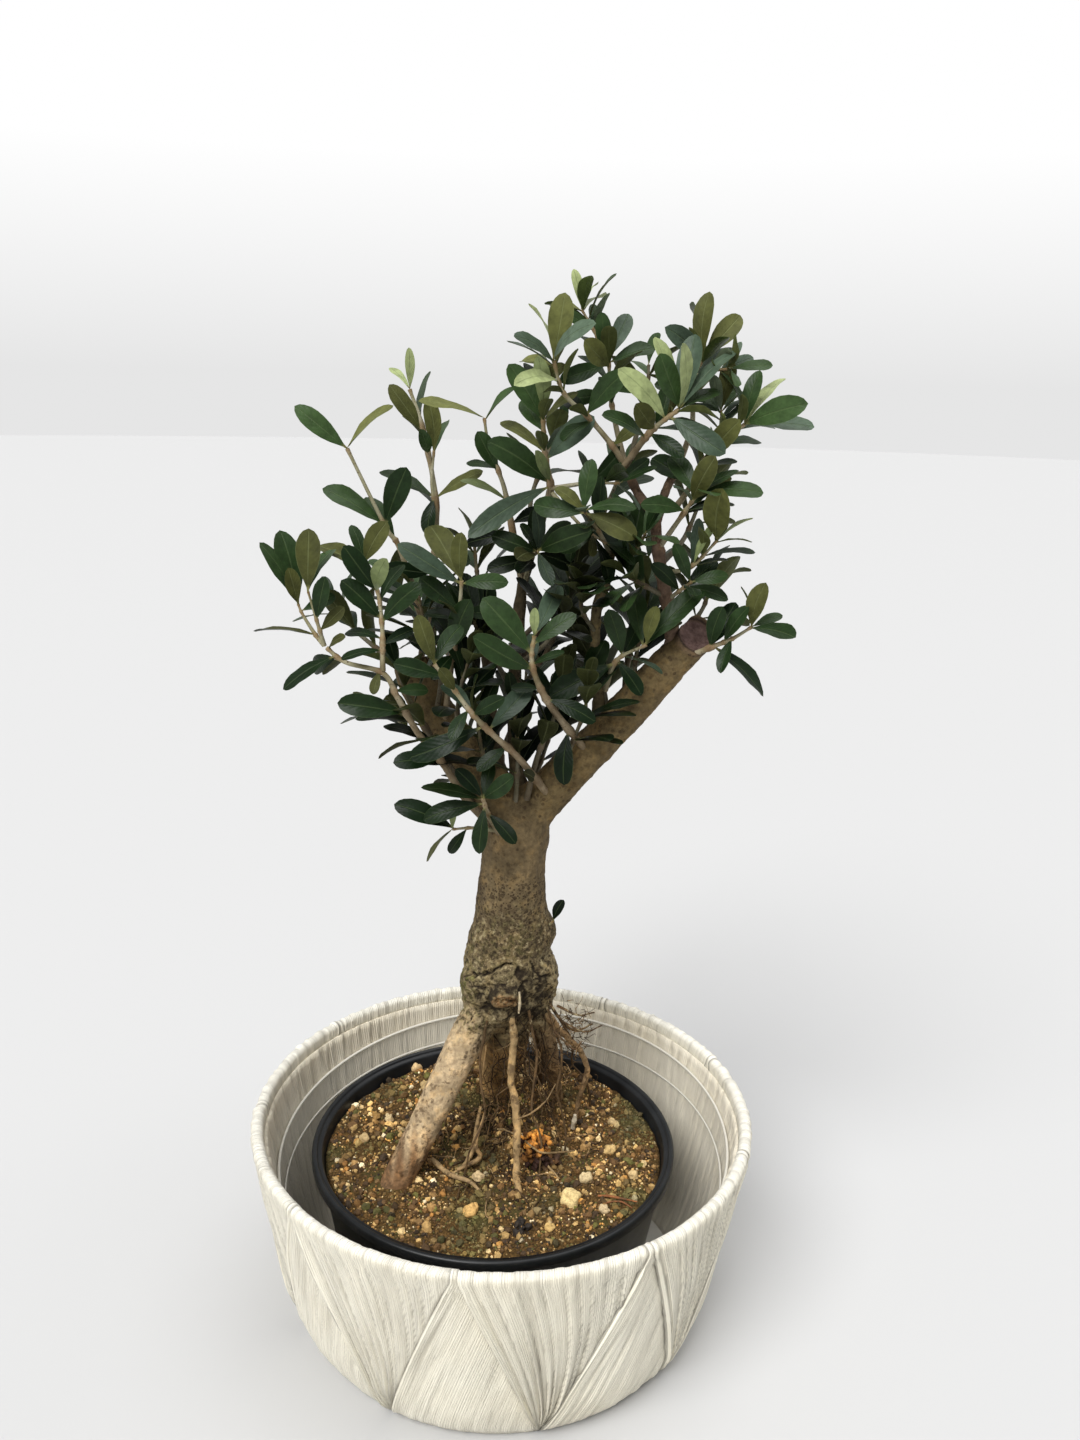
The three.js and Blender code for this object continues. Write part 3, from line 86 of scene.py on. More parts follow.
# %% Camera
EYE = Vector((14.7, -553.0, 479.6))
LOOK_DOWN = math.radians(15.94)
LEAN = math.radians(1.34)  # the camera was held a little askew
forward = Vector((0, math.cos(LOOK_DOWN), -math.sin(LOOK_DOWN)))
level_up = Vector((0, math.sin(LOOK_DOWN), math.cos(LOOK_DOWN)))
level_right = Vector((1, 0, 0))
right = math.cos(LEAN) * level_right + math.sin(LEAN) * level_up
up = math.cos(LEAN) * level_up - math.sin(LEAN) * level_right
lens = bpy.data.cameras.new("camera")
lens.sensor_fit = "VERTICAL"
lens.sensor_height = 36
lens.lens = 30
camera = placed("camera", lens)
turned = Matrix((right, up, -forward)).transposed().to_4x4()
camera.matrix_world = Matrix.Translation(EYE * MM) @ turned
bpy.context.scene.camera = camera
print("camera at", tuple(round(c, 3) for c in camera.location))

# %% [markdown]
# A material is a small graph of nodes. Short helpers keep the graphs readable: one adds a node and fills or
# links its sockets, some do sums, some make masks and patterns, and some lay one colour over another.

# %% Materials, nodes and sums
def new_material(name, **sockets):
    """A material with its Principled shader's sockets set, and the node tree and shader to build on."""
    material = bpy.data.materials.new(name)
    material.use_nodes = True
    tree = material.node_tree
    shader = tree.nodes["Principled BSDF"]
    for key, value in sockets.items():
        shader.inputs[key.replace("_", " ")].default_value = value
    return material, tree, shader


def node(tree, kind, inputs=None, **settings):
    """A shader node, with its settings, and each input set to a value or linked to a socket."""
    made = tree.nodes.new("ShaderNode" + kind)
    for key, value in settings.items():
        setattr(made, key, value)
    for key, value in (inputs or {}).items():
        if isinstance(value, bpy.types.NodeSocket):
            tree.links.new(value, made.inputs[key])
        else:
            made.inputs[key].default_value = value
    return made


def linked(kind, inputs, **settings):
    """A node in the tree that its linked inputs belong to, so that the tree needn't be named."""
    tree = next(value.id_data for value in inputs.values() if isinstance(value, bpy.types.NodeSocket))
    return node(tree, kind, inputs, **settings)


def maths(operation, first, second=0.0):
    return linked("Math", {0: first, 1: second}, operation=operation).outputs[0]


def times(first, second):
    return maths("MULTIPLY", first, second)


def plus(first, second):
    return maths("ADD", first, second)


def larger(first, second):
    return maths("MAXIMUM", first, second)


# %% Places and patterns
def in_place(tree):
    """Object coordinates, in metres."""
    return node(tree, "TexCoord").outputs["Object"]


def attribute(tree, name):
    return node(tree, "Attribute", attribute_name=name).outputs["Vector"]


def parts_of(vector):
    """The X, Y and Z of a vector."""
    return linked("SeparateXYZ", {"Vector": vector}).outputs


def scaled(vector, scale):
    return linked("Mapping", {"Vector": vector, "Scale": scale}).outputs["Vector"]


def grey(socket, low, high):
    """A smooth mask that is 0 at low and 1 at high."""
    inputs = {"Value": socket, "From Min": low, "From Max": high}
    return linked("MapRange", inputs, interpolation_type="SMOOTHSTEP").outputs["Result"]


def noise_at(vector, scale, detail=4, roughness=0.55):
    inputs = {"Vector": vector, "Scale": scale, "Detail": detail, "Roughness": roughness}
    return linked("TexNoise", inputs).outputs["Fac"]


def dots_at(vector, scale):
    """Distance from the nearest of many scattered points."""
    return linked("TexVoronoi", {"Vector": vector, "Scale": scale}).outputs["Distance"]


# %% Colours
def mixed(share, first, second, blend="MIX"):
    """Two colours mixed by a share, each of them a value or a socket."""
    inputs = {0: share, 6: first, 7: second}
    return linked("Mix", inputs, data_type="RGBA", blend_type=blend).outputs[2]


def ramp(socket, stops, interpolation="LINEAR"):
    """A colour ramp over (place, colour) stops."""
    made = linked("ValToRGB", {"Fac": socket})
    made.color_ramp.interpolation = interpolation
    elements = made.color_ramp.elements
    while len(elements) < len(stops):
        elements.new(0.5)
    for element, (place, colour) in zip(elements, stops):
        element.position = place
        element.color = (*colour, 1)
    return made.outputs["Color"]


def shaded(share, colour, socket, stops):
    """A colour multiplied by a ramp, as far as a share."""
    return mixed(share, colour, ramp(socket, stops), "MULTIPLY")


def stained(colour, mask, share, stain):
    """A colour with a plain stain over it where the mask is bright."""
    return mixed(times(mask, share), colour, (*stain, 1))


def bumped(shader, height, distance_mm, strength):
    """Feeds a height to the shader's normal as a bump of some millimetres."""
    inputs = {"Height": height, "Distance": distance_mm * MM, "Strength": strength}
    height.id_data.links.new(linked("Bump", inputs).outputs["Normal"], shader.inputs["Normal"])


def finished(shader, colour, height, distance_mm, strength):
    """Links a colour and a bump to the shader."""
    colour.id_data.links.new(colour, shader.inputs["Base Color"])
    bumped(shader, height, distance_mm, strength)


# %% Floor and light
FLOOR_TONE, FLOOR_REACH = 0.55, 9  # a grey, and a radius in metres
SKY_LIGHT = 0.46  # the sky is brighter to look at than it is as a lamp


def add_floor():
    tone = (FLOOR_TONE, FLOOR_TONE, FLOOR_TONE, 1)
    material, _, _ = new_material("studio_floor", Roughness=0.9, Base_Color=tone, Specular_IOR_Level=0.1)
    disc = bmesh.new()
    bmesh.ops.create_circle(disc, cap_ends=True, segments=64, radius=FLOOR_REACH)
    mesh = bpy.data.meshes.new("floor")
    disc.to_mesh(mesh)
    disc.free()
    mesh.materials.append(material)
    floor = placed("floor", mesh)


def add_lamp(name, way, strength, softness):
    """A far, broad lamp: way is where it stands, softness its width in degrees."""
    light = bpy.data.lights.new(name, "SUN")
    light.energy = strength
    light.angle = math.radians(softness)
    placed(name, light).rotation_euler = (-Vector(way)).to_track_quat("-Z", "Y").to_euler()


def add_sky():
    """A plain backdrop that fades from the floor's tone to white, and a dimmer light from all round."""
    world = bpy.data.worlds.new("studio")
    world.use_nodes = True
    tree = world.node_tree
    rise = parts_of(node(tree, "TexCoord").outputs["Generated"])["Z"]
    backdrop = ramp(rise, [(0.0, (0.79, 0.79, 0.79)), (0.16, (1.0, 1.0, 1.0))])
    looked_at = node(tree, "LightPath").outputs["Is Camera Ray"]
    lamp = (SKY_LIGHT, SKY_LIGHT, SKY_LIGHT, 1)
    tree.links.new(mixed(looked_at, lamp, backdrop), tree.nodes["Background"].inputs["Color"])
    bpy.context.scene.world = world


add_floor()
add_sky()
add_lamp("key_light", (-0.44, -0.74, 1.0), 2.9, 34)
add_lamp("top_light", (0.25, 0.10, 1.0), 1.3, 50)
bpy.context.scene.view_settings.view_transform = "Standard"
print("floor, sky and two lamps")

# %% [markdown]
# ## Lines, and making a piece
# A stem, a root or a hair is a line with a thickness. The frame's crown was measured against an upright
# plane from the eye, so the same reading is kept here: x and z on the plane, and the point's own y.

# %% Lines
PLANE_Y = 12.0


def sighted(x, z, y):
    """A point read on the measuring plane, moved along its line of sight to depth y."""
    share = (y - EYE.y) / (PLANE_Y - EYE.y)
    return Vector((EYE.x + (x - EYE.x) * share, y, EYE.z + (z - EYE.z) * share))


def on(reading):
    x, z, y = reading
    return sighted(x, z, y)


def square(vector, axis):
    """The part of a vector that is square to an axis, as a direction."""
    return (vector - axis * vector.dot(axis)).normalized()


def smooth_line(points, steps):
    """A Catmull-Rom line through points, with some steps between neighbours."""
    padded = [2 * points[0] - points[1], *points, 2 * points[-1] - points[-2]]
    line = []
    for i in range(len(points) - 1):
        before, start, end, after = padded[i : i + 4]
        leave, arrive = (end - before) / 2, (after - start) / 2
        for step in range(steps):
            t = step / steps
            line.append(
                start
                + leave * t
                + (3 * (end - start) - 2 * leave - arrive) * t * t
                + (2 * (start - end) + leave + arrive) * t * t * t
            )
    return line + [points[-1].copy()]


def radii_along(radii, count):
    """Radii spread evenly over a line, straight between the given ones."""
    return np.interp(np.linspace(0, len(radii) - 1, count), range(len(radii)), radii)


# %% [markdown]
# A curve with a round bevel and a radius at each point is Blender's quickest way to many tubes: one
# curve object can hold hundreds of splines, and it becomes a mesh in one go.

# %% Tubes and finished pieces
def tubes_mesh(name, lines, sides=8):
    """One mesh of closed tubes, from (points in mm, radii in mm) pairs."""
    curve = bpy.data.curves.new(name, "CURVE")
    curve.dimensions = "3D"
    curve.bevel_depth = MM
    curve.bevel_resolution = max(0, sides // 2 - 2)
    curve.use_fill_caps = True
    for points, radii in lines:
        spline = curve.splines.new("POLY")
        spline.points.add(len(points) - 1)
        for place, point, radius in zip(spline.points, points, radii):
            place.co = (*(point * MM), 1)
            place.radius = radius
    return baked(placed(name, curve))


def baked(holder):
    """The mesh that an object's curve or modifiers come to; the object itself goes."""
    bpy.context.view_layer.update()
    depsgraph = bpy.context.evaluated_depsgraph_get()
    mesh = bpy.data.meshes.new_from_object(holder.evaluated_get(depsgraph))
    bpy.data.objects.remove(holder)
    return mesh


def add_piece(name, mesh, materials, slot, *replaced, smooth=True):
    """An object at the origin that rides on the only body, and stands for the CAD nodes it replaces."""
    for material in materials:
        mesh.materials.append(material)
    if smooth:
        mesh.shade_smooth()
    made = placed(name, mesh)
    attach(made, "root")
    if replaced:
        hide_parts(*replaced)
    mesh.calc_loop_triangles()
    print(f"{name}: {len(mesh.loop_triangles)} triangles")
    return made


def spun(profile, steps):
    """A bmesh of a closed profile of (radius, height) in mm, turned once round the z axis.
    Its layer "row" keeps which point of the profile each vertex came from."""
    work = bmesh.new()
    row = work.verts.layers.float.new("row")
    corners = [work.verts.new((radius * MM, 0, height * MM)) for radius, height in profile]
    for i, corner in enumerate(corners):
        corner[row] = i
    edges = [work.edges.new((a, b)) for a, b in zip(corners, corners[1:] + corners[:1])]
    bmesh.ops.spin(
        work, geom=corners + edges, cent=(0, 0, 0), axis=(0, 0, 1), dvec=(0, 0, 0),
        angle=math.tau, steps=steps, use_merge=True,
    )
    bmesh.ops.recalc_face_normals(work, faces=work.faces)
    return work


def poured(work, name):
    """A bmesh as a mesh; the bmesh is freed."""
    mesh = bpy.data.meshes.new(name)
    work.to_mesh(mesh)
    work.free()
    return mesh


def store_layer(mesh, name, values):
    """Keeps three numbers for each vertex, for a material to read."""
    layer = mesh.attributes.new(name, "FLOAT_VECTOR", "POINT")
    layer.data.foreach_set("vector", np.ascontiguousarray(values, dtype=float).ravel())


# %% [markdown]
# ## The bowl's pleated ribbon
# A wide ivory ribbon is wound over the rim and under the foot, so that its folds lie in a zigzag round the
# wall. Simulating that winding would be slow and hard to steer. A spun wall is simpler: every triangle
# between two folds gets its own strip of columns, so each fold is a crisp edge, and pleats are pressed in.

# %% The wall under the ribbon
BOWL_HEIGHT = 112.0
BOWL_WALL = ((0, 101.5), (6, 107), (21, 112.7), (72, 123), (BOWL_HEIGHT, 130))
PLY_BACK = 2.5  # depth of the outer ply's back under the wall
PLY_OUTER, PLY_INNER = 4.6, 6.0  # the same for the two faces of the ply that lines the bowl
SHELL_FLOOR = 3.6
ZIGZAGS = 9
PITCH = 360 / ZIGZAGS
FIRST_TOP_CORNER = -137.5
DOWN_STROKE = 19.5
RELIEF = 2.0  # how far a fold stands over the next one
PLEAT_EDGE = 1.1  # mm over which a pleat rises, and over which its shadow fades


def wall_radius(height):
    """Radius of the bowl's outside, eased where its profile bends."""
    heights, radii = zip(*BOWL_WALL)
    near = [np.interp(height + shift, heights, radii) for shift in (-3, -1, 1, 3)]
    return float(np.interp(height, heights, radii)) if height < 4 else sum(near) / 4


def pleats_over(width, narrow, wide, low, high, source):
    """Pleats side by side over a width: (start, width, height) of each, in mm."""
    found, start = [], 0.0
    while start < width:
        step = source.uniform(narrow, wide)
        found.append((start, step, source.uniform(low, high)))
        start += step
    return found


def pleat_height(pleats, across):
    """Height of knife pleats at a distance across them, and the shade painted over each, darkest at its foot
    beside the next: a pleat rises at once and sinks to the next."""
    for start, width, height in pleats:
        if across < start + width:
            share = max(0.0, (across - start) / width)
            rise = height * min(1, share * width / PLEAT_EDGE) * (1 - share) ** 0.7
            dark = 0.6 * math.exp((across - start - width) / PLEAT_EDGE) + 0.35 * share**1.6
            return rise, dark * min(1, height)
    return 0.0, 0.0


# %% The folds of the outer ply
FOLD_COLUMNS = 84
COLUMNS = ZIGZAGS * 2 * (FOLD_COLUMNS + 1)
TUCK = 0.22  # degrees between a fold's edge and the end of the ribbon that it lies on
HEM = 1.5  # width of the turned hem along a fold's leading edge
FAN_WIDTH = 88  # a fan's width at the rim
FOLD_APART = 137  # mm between two folds on the cloth, so that their pleats don't match
NARROW_FAN, NARROW_STROKE = 16, 6  # mm under which pleats have little room to rise
source = random.Random(31)
FOLD_PLEATS = [pleats_over(120, 3.5, 11.0, 0.5, 2.0, source) for _ in range(ZIGZAGS * 2)]


def fold_place(column, height):
    """Angle in degrees of a column at a height, its fold, and its share of the way over that fold."""
    fold, step = divmod(column % COLUMNS, FOLD_COLUMNS + 1)
    down = min(0.965, max(0.035, (BOWL_HEIGHT - height) / BOWL_HEIGHT))
    top = FIRST_TOP_CORNER + (fold // 2) * PITCH
    left, middle = top + DOWN_STROKE * down, top + PITCH - (PITCH - DOWN_STROKE) * down
    start, end = (left, middle) if fold % 2 == 0 else (middle, left + PITCH)
    across = step / FOLD_COLUMNS
    return start + TUCK + (end - start - TUCK) * across, fold, across, end - start, down


def fold_relief(fold, across, width_mm, down, height):
    """How far the ribbon stands from the wall, how much shade is painted there, and its place on the cloth.
    """
    reach = across * width_mm
    fan = fold % 2 == 0  # pleats of a fan meet at its low corner; the others lie along the leading edge
    gathered = down if fan else 1 - down
    spread = across * 0.5 * (width_mm + FAN_WIDTH) if fan else reach
    room = min(1, width_mm / NARROW_FAN if fan else (width_mm - reach) / NARROW_STROKE + 0.15)
    pressed, dark = [part * room * (1 if fan else 0.3) for part in pleat_height(FOLD_PLEATS[fold], spread)]
    bunched = 1.25 + 0.75 * smooth_step(0.45, 1.0, gathered)
    drape = noise.noise(Vector((spread * 0.10, height * 0.018, fold * 7.3))) * 1.1
    wrinkle = noise.noise(Vector((spread * 0.36, height * 0.03, fold * 3.1))) * (0.6 if fan else 0.95)
    hem = 0.45 * bell(reach, HEM / 2, 0.5) - 0.35 * bell(reach, HEM + 0.5, 0.45)
    cover = RELIEF * (1 - across) ** 1.1
    proud = cover + (drape + wrinkle) + hem + pressed * bunched - 0.8 * gathered**4
    patchy = smooth_step(-0.35, 0.35, noise.noise(Vector((fold, height * 0.06, 0))))
    # Painted shadow under the edge of the fold that lies over this one.
    under = math.exp(reach - width_mm) * (0.6 + 0.55 * patchy)
    # Painted shade in the groove just behind the hem.
    hem_groove_shade = 0.16 * bell(reach, HEM + 0.6, 0.5)
    # All the shade painted into the cloth: pleat creases, shadows under fold edges, the hem's groove and
    # wrinkle hollows.
    crease_shade = max(under, hem_groove_shade, dark * (0.45 + 0.6 * gathered) + max(0, -0.4 * wrinkle - 0.3 * drape))
    return proud - RELIEF, -1 if reach < HEM else min(1, crease_shade), spread


# %% [markdown]
# The profile runs round the whole ply as one closed loop: under the foot, up the wall, over the rim, and
# back down along the two faces that touch the hidden bowl, so the spun ribbon is a closed solid.

# %% The outer ply's profile
RIM_RADIUS, RIM_THICK = 126.4, 3.1
RIM_DEEP = 9  # mm below the top where the ribbon is bunched over the rim
WALL_ROWS = 28


def ribbon_profile():
    """(radius, height, share of the relief) along the closed profile of the outer ply."""
    under = [(88.4, 0, 0), (95, 0, 0), (99.5, 0, 0)]
    wall = [(wall_radius(z), z, min(1, z / 7)) for z in np.linspace(1.2, BOWL_HEIGHT - 4.5, WALL_ROWS)]
    rim = []
    for turn in np.linspace(12, 168, 8):
        out, rise = math.cos(math.radians(turn)), math.sin(math.radians(turn))
        rim.append((RIM_RADIUS + RIM_THICK * out, BOWL_HEIGHT - RIM_THICK + RIM_THICK * rise, 0.6))
    inner = [(wall_radius(z) - PLY_INNER, z, 0.3) for z in (107, 104)]
    back = [(wall_radius(z) - PLY_OUTER, z, 0) for z in (104, 110.3)]
    back += [(wall_radius(z) - PLY_BACK, z, 0) for z in (110.3, 90, 72, 46, 21, 6)]
    return under + wall + rim + inner + back + [(98.9, 1.6, 0), (88.4, 1.6, 0)]


def fold_ribbon(work, profile):
    """Moves every vertex of the spun ply to its fold, and notes its place on the cloth and the shade painted
    there.
    """
    row = work.verts.layers.float["row"]
    cloth = work.verts.layers.float_vector.new("cloth")
    for vert in work.verts:
        radius, height, share = profile[int(round(vert[row]))]
        column = round(math.degrees(math.atan2(vert.co.y, vert.co.x)) / 360 * COLUMNS)
        angle, fold, across, width, down = fold_place(column, height)
        width_mm = math.radians(width) * radius
        proud, crease_shade, spread = fold_relief(fold, across, width_mm, down, height)
        if height > BOWL_HEIGHT - RIM_DEEP and share:
            lumps = noise.noise(Vector((angle * 0.5, 0, 2.0)))
            lumps += 0.6 * noise.noise(Vector((angle * 1.6, 0, 5.0)))
            proud = 0.3 * proud + 1.1 * lumps
            height = height + 0.9 * lumps
        radius += share * proud
        turn = math.radians(angle)
        vert.co = (radius * math.cos(turn) * MM, radius * math.sin(turn) * MM, height * MM)
        # The cloth layer keeps the painted shade third; faces against the bowl get a little of it everywhere.
        vert[cloth] = (spread + FOLD_APART * fold, height, crease_shade if share else 0.2)


# %% Ribbon finish
PLEAT_CELL = 5.2  # mm, the mean width of the small pleats that are only shaded
RIB, PICK = 1.25, 0.5  # mm from one woven rib to the next, and from one weft thread to the next
RIM_PAINTED_LIGHT = (1.0, 0.98, 0.90)


def small_pleats(along, cloth_noise, hemmed):
    """Pleats too small to model: how tilted each one is, how deep, and the line of painted shade between two.
    """
    narrow = times(along, 1 / PLEAT_CELL)
    gap = linked("TexVoronoi", {"W": narrow}, voronoi_dimensions="1D", feature="DISTANCE_TO_EDGE")
    middle = linked("TexVoronoi", {"W": narrow}, voronoi_dimensions="1D").outputs["W"]
    tilt = maths("SUBTRACT", narrow, middle)
    deep = times(grey(cloth_noise, 0.32, 0.56), grey(hemmed, -0.9, -0.4))  # a hem is plain
    return tilt, deep, times(grey(gap.outputs["Distance"], 0.09, 0.0), deep)


def ribbon_material(name, cream, shade, dull):
    """Ivory cloth with fine woven ribs along the pleats; shade is painted into its creases, wrinkles and rib
    grooves, and light onto its rim.
    """
    material, tree, shader = new_material(name, Roughness=0.7, Sheen_Weight=0.15)
    cloth = attribute(tree, "cloth")
    parts = parts_of(cloth)
    patches = noise_at(in_place(tree), 26, 3)
    tone = mixed(grey(patches, 0.3, 0.75), (*cream, 1), (*dull, 1))
    # Painted light: the rim's top is lighter, as it faces the lamps.
    tone = stained(tone, grey(parts["Y"], BOWL_HEIGHT - 3, BOWL_HEIGHT), 0.6, RIM_PAINTED_LIGHT)
    stretched = scaled(cloth, (0.8, 0.05, 0.0))
    crumple = noise_at(stretched, 1.0, 5, 0.6)
    tilt, deep, line = small_pleats(parts["X"], noise_at(stretched, 0.6, 2), parts["Z"])
    # Painted shade in the crumples' hollows, on the shaded side of each small pleat and in the lines between
    # them.
    wrinkle_shade = times(grey(crumple, 0.44, 0.28), 0.26)
    slope = times(times(grey(tilt, -0.1, 0.5), deep), 0.62)
    crease_shade = larger(larger(slope, line), larger(parts["Z"], wrinkle_shade))
    colour = stained(tone, crease_shade, 0.85, shade)
    ribs = maths("SINE", times(parts["X"], math.tau / RIB))
    # Painted shade in the grooves between the woven ribs.
    colour = stained(colour, grey(ribs, -0.2, -1.0), 0.10, shade)
    picks = maths("SINE", times(parts["Y"], math.tau / PICK))
    weave = plus(times(ribs, 0.13), times(picks, 0.03))
    pleats = times(times(tilt, deep), 1.3)
    finished(shader, colour, plus(plus(weave, crumple), pleats), 1.3, 0.8)
    return material


def add_outer_ply():
    profile = ribbon_profile()
    work = spun([(radius, height) for radius, height, _ in profile], COLUMNS)
    fold_ribbon(work, profile)
    finish = ribbon_material("ivory_ribbon", (1.0, 0.95, 0.79), (0.15, 0.12, 0.07), (0.94, 0.88, 0.71))
    mesh = poured(work, "ribbon_outer_ply")
    ply = add_piece("ribbon_outer_ply", mesh, [finish], "ribbon", "bowl_ribbon_wrap")


add_outer_ply()

# %% [markdown]
# The ribbon also lines the bowl. There its folds stand nearly upright, fanned a little one over another,
# and the clear liner in front of them takes some of their warmth.

# %% The inner ply
INNER_COLUMNS = 900
INNER_REACH = 120  # mm, the inner wall's radius where its cloth is measured
INNER_LEAD = 20  # mm by which both rows of pleats are turned
INNER_HEIGHTS = (105.5, 102, 98, 94, 90, 86, 82, 78, 74, 70, 65, 60, 54, 48, 42, 36, 30, 24, 18, 12, 7)
INNER_LEANS = (0.10, -0.24)  # mm of shift along the wall for each millimetre of height
source = random.Random(77)
INNER_PLEATS = [pleats_over(900, 1.8, 9, 0.5, 1.9, source), pleats_over(900, 4, 14, 0.3, 1.6, source)]


def add_inner_ply():
    face = [(wall_radius(z) - PLY_INNER - 0.2, z) for z in INNER_HEIGHTS]
    back = [(wall_radius(z) - PLY_OUTER, z) for z in (SHELL_FLOOR + 0.2, 21, 72, 105.5)]
    work = spun(face + [(wall_radius(4) - PLY_INNER, SHELL_FLOOR + 0.2)] + back, INNER_COLUMNS)
    row = work.verts.layers.float["row"]
    cloth = work.verts.layers.float_vector.new("cloth")
    for vert in work.verts:
        along = (math.atan2(vert.co.y, vert.co.x) + math.pi) * INNER_REACH
        height = vert.co.z / MM
        folds = [
            pleat_height(pleats, along + lean * height + INNER_LEAD)
            for pleats, lean in zip(INNER_PLEATS, INNER_LEANS)
        ]
        rise, dark = max(folds)
        if vert[row] < len(INNER_HEIGHTS):
            shrink = 1 - 0.0085 * rise
            vert.co.x *= shrink
            vert.co.y *= shrink
        # The cloth layer's third number is the shade painted into the pleats' creases.
        vert[cloth] = (along, height, dark * 0.8)
    finish = ribbon_material("ribbon_lining", (0.93, 0.86, 0.70), (0.26, 0.21, 0.13), (0.84, 0.76, 0.59))
    ply = add_piece("ribbon_inner_ply", poured(work, "ribbon_inner_ply"), [finish], "ribbon")


add_inner_ply()


# %% [markdown]
# ## Plastic: the hidden bowl, the clear liner and the nursery pot
# Moulded plastic is turned work, so each piece is a profile spun round the axis. The hidden bowl keeps its
# CAD shape. The liner sits askew, so the upper part of its spun shape is sheared by a cosine of the angle.

# %% Hidden bowl
def shell_material():
    material, tree, shader = new_material("moulded_shell", Roughness=0.55)
    speckle = noise_at(in_place(tree), 160, 2)
    colour = ramp(speckle, [(0.35, (0.60, 0.58, 0.53)), (0.65, (0.66, 0.64, 0.58))])
    finished(shader, colour, speckle, 0.15, 0.4)
    return material


def dress_shell():
    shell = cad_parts["bowl_shell"]
    shell.data.materials.clear()
    shell.data.materials.append(shell_material())


dress_shell()

# %% Clear liner
LINER_RIM, LINER_RING_DROP = 90.0, 15.0  # mm: the rim's mean height, and how far below it the ring runs
LINER_TILT, LINER_HIGH_SIDE = 9.0, 60.0  # mm of rise, and the side of the rise in degrees
LINER_KNEE = 21  # mm: the height where the lean starts
LINER_WALL, LINER_BASE = 0.9, SHELL_FLOOR + 0.3
LINER_STEPS = 144


def liner_radius(height):
    return wall_radius(height) - PLY_INNER - 1.6


def lean_at(angle):
    return LINER_TILT * math.cos(angle - math.radians(LINER_HIGH_SIDE))


def clear_material(name, alpha, roughness):
    tone = (0.86, 0.83, 0.74, 1)
    material, tree, shader = new_material(name, Roughness=roughness, Alpha=alpha, Base_Color=tone)
    scuffs = noise_at(in_place(tree), 90, 6, 0.7)
    bumped(shader, scuffs, 0.12, 0.3)
    return material


def tilt_liner(work):
    """Shears the liner above its knee, as far as its rim leans."""
    for vert in work.verts:
        height = vert.co.z / MM
        share = clamped((height - LINER_KNEE) / (LINER_RIM - LINER_RING_DROP - LINER_KNEE))
        height += share * lean_at(math.atan2(vert.co.y, vert.co.x))
        reach = liner_radius(height) / liner_radius(vert.co.z / MM)
        vert.co = (vert.co.x * reach, vert.co.y * reach, height * MM)


def add_liner():
    heights = [LINER_KNEE, 40, 60, 75, LINER_RIM]
    outside = [(liner_radius(4) - 3, LINER_BASE)] + [(liner_radius(z), z) for z in heights]
    inside = [(radius - LINER_WALL, max(height, LINER_BASE + LINER_WALL)) for radius, height in outside[::-1]]
    floor = [(2, LINER_BASE + LINER_WALL), (2, LINER_BASE)]
    work = spun(outside + inside + floor, LINER_STEPS)
    tilt_liner(work)
    finish = clear_material("clear_liner", 0.13, 0.12)
    add_piece("clear_liner", poured(work, "clear_liner"), [finish], "liner", "bowl_liner")


def add_liner_beads():
    """The rolled rim and the moulded ring: thicker plastic, drawn more opaque than the liner so that they
    show as fine bright lines, partly a painted highlight.
    """
    lines = []
    for height, radius in ((LINER_RIM, 0.75), (LINER_RIM - LINER_RING_DROP, 0.55)):
        ring = []
        for step in range(LINER_STEPS + 1):
            angle = math.tau * step / LINER_STEPS
            z = height + lean_at(angle)
            reach = liner_radius(z) - LINER_WALL
            ring.append(Vector((math.cos(angle) * reach, math.sin(angle) * reach, z)))
        lines.append((ring, [radius] * len(ring)))
    finish = clear_material("liner_bead", 0.6, 0.25)
    add_piece("liner_beads", tubes_mesh("liner_beads", lines, 8), [finish], "liner")


add_liner()
add_liner_beads()

# %% Nursery pot
POT_CENTRE = (-4.6, 0.0)
POT_RIM_RADIUS, POT_RIM_HEIGHT, POT_LIP = 95.4, 91.0, 5.5
POT_FOOT, POT_FLOOR_TOP = 4.9, 8.3
POT_FOOT_RADIUS, POT_TOP_RADIUS, POT_WALL = 78.0, 91.2, 1.8
POT_ROLL = 1.6  # radius of the rim's rolled edge


def pot_material():
    material, tree, shader = new_material("black_pot", Roughness=0.36, Specular_IOR_Level=0.32)
    place = in_place(tree)
    dust = noise_at(place, 55, 5, 0.65)
    colour = ramp(dust, [(0.35, (0.004, 0.005, 0.006)), (0.72, (0.014, 0.015, 0.016))])
    scratches = noise_at(scaled(place, (400, 400, 60)), 1, 3)
    tree.links.new(plus(times(dust, 0.25), 0.24), shader.inputs["Roughness"])
    finished(shader, colour, scratches, 0.12, 0.35)
    return material


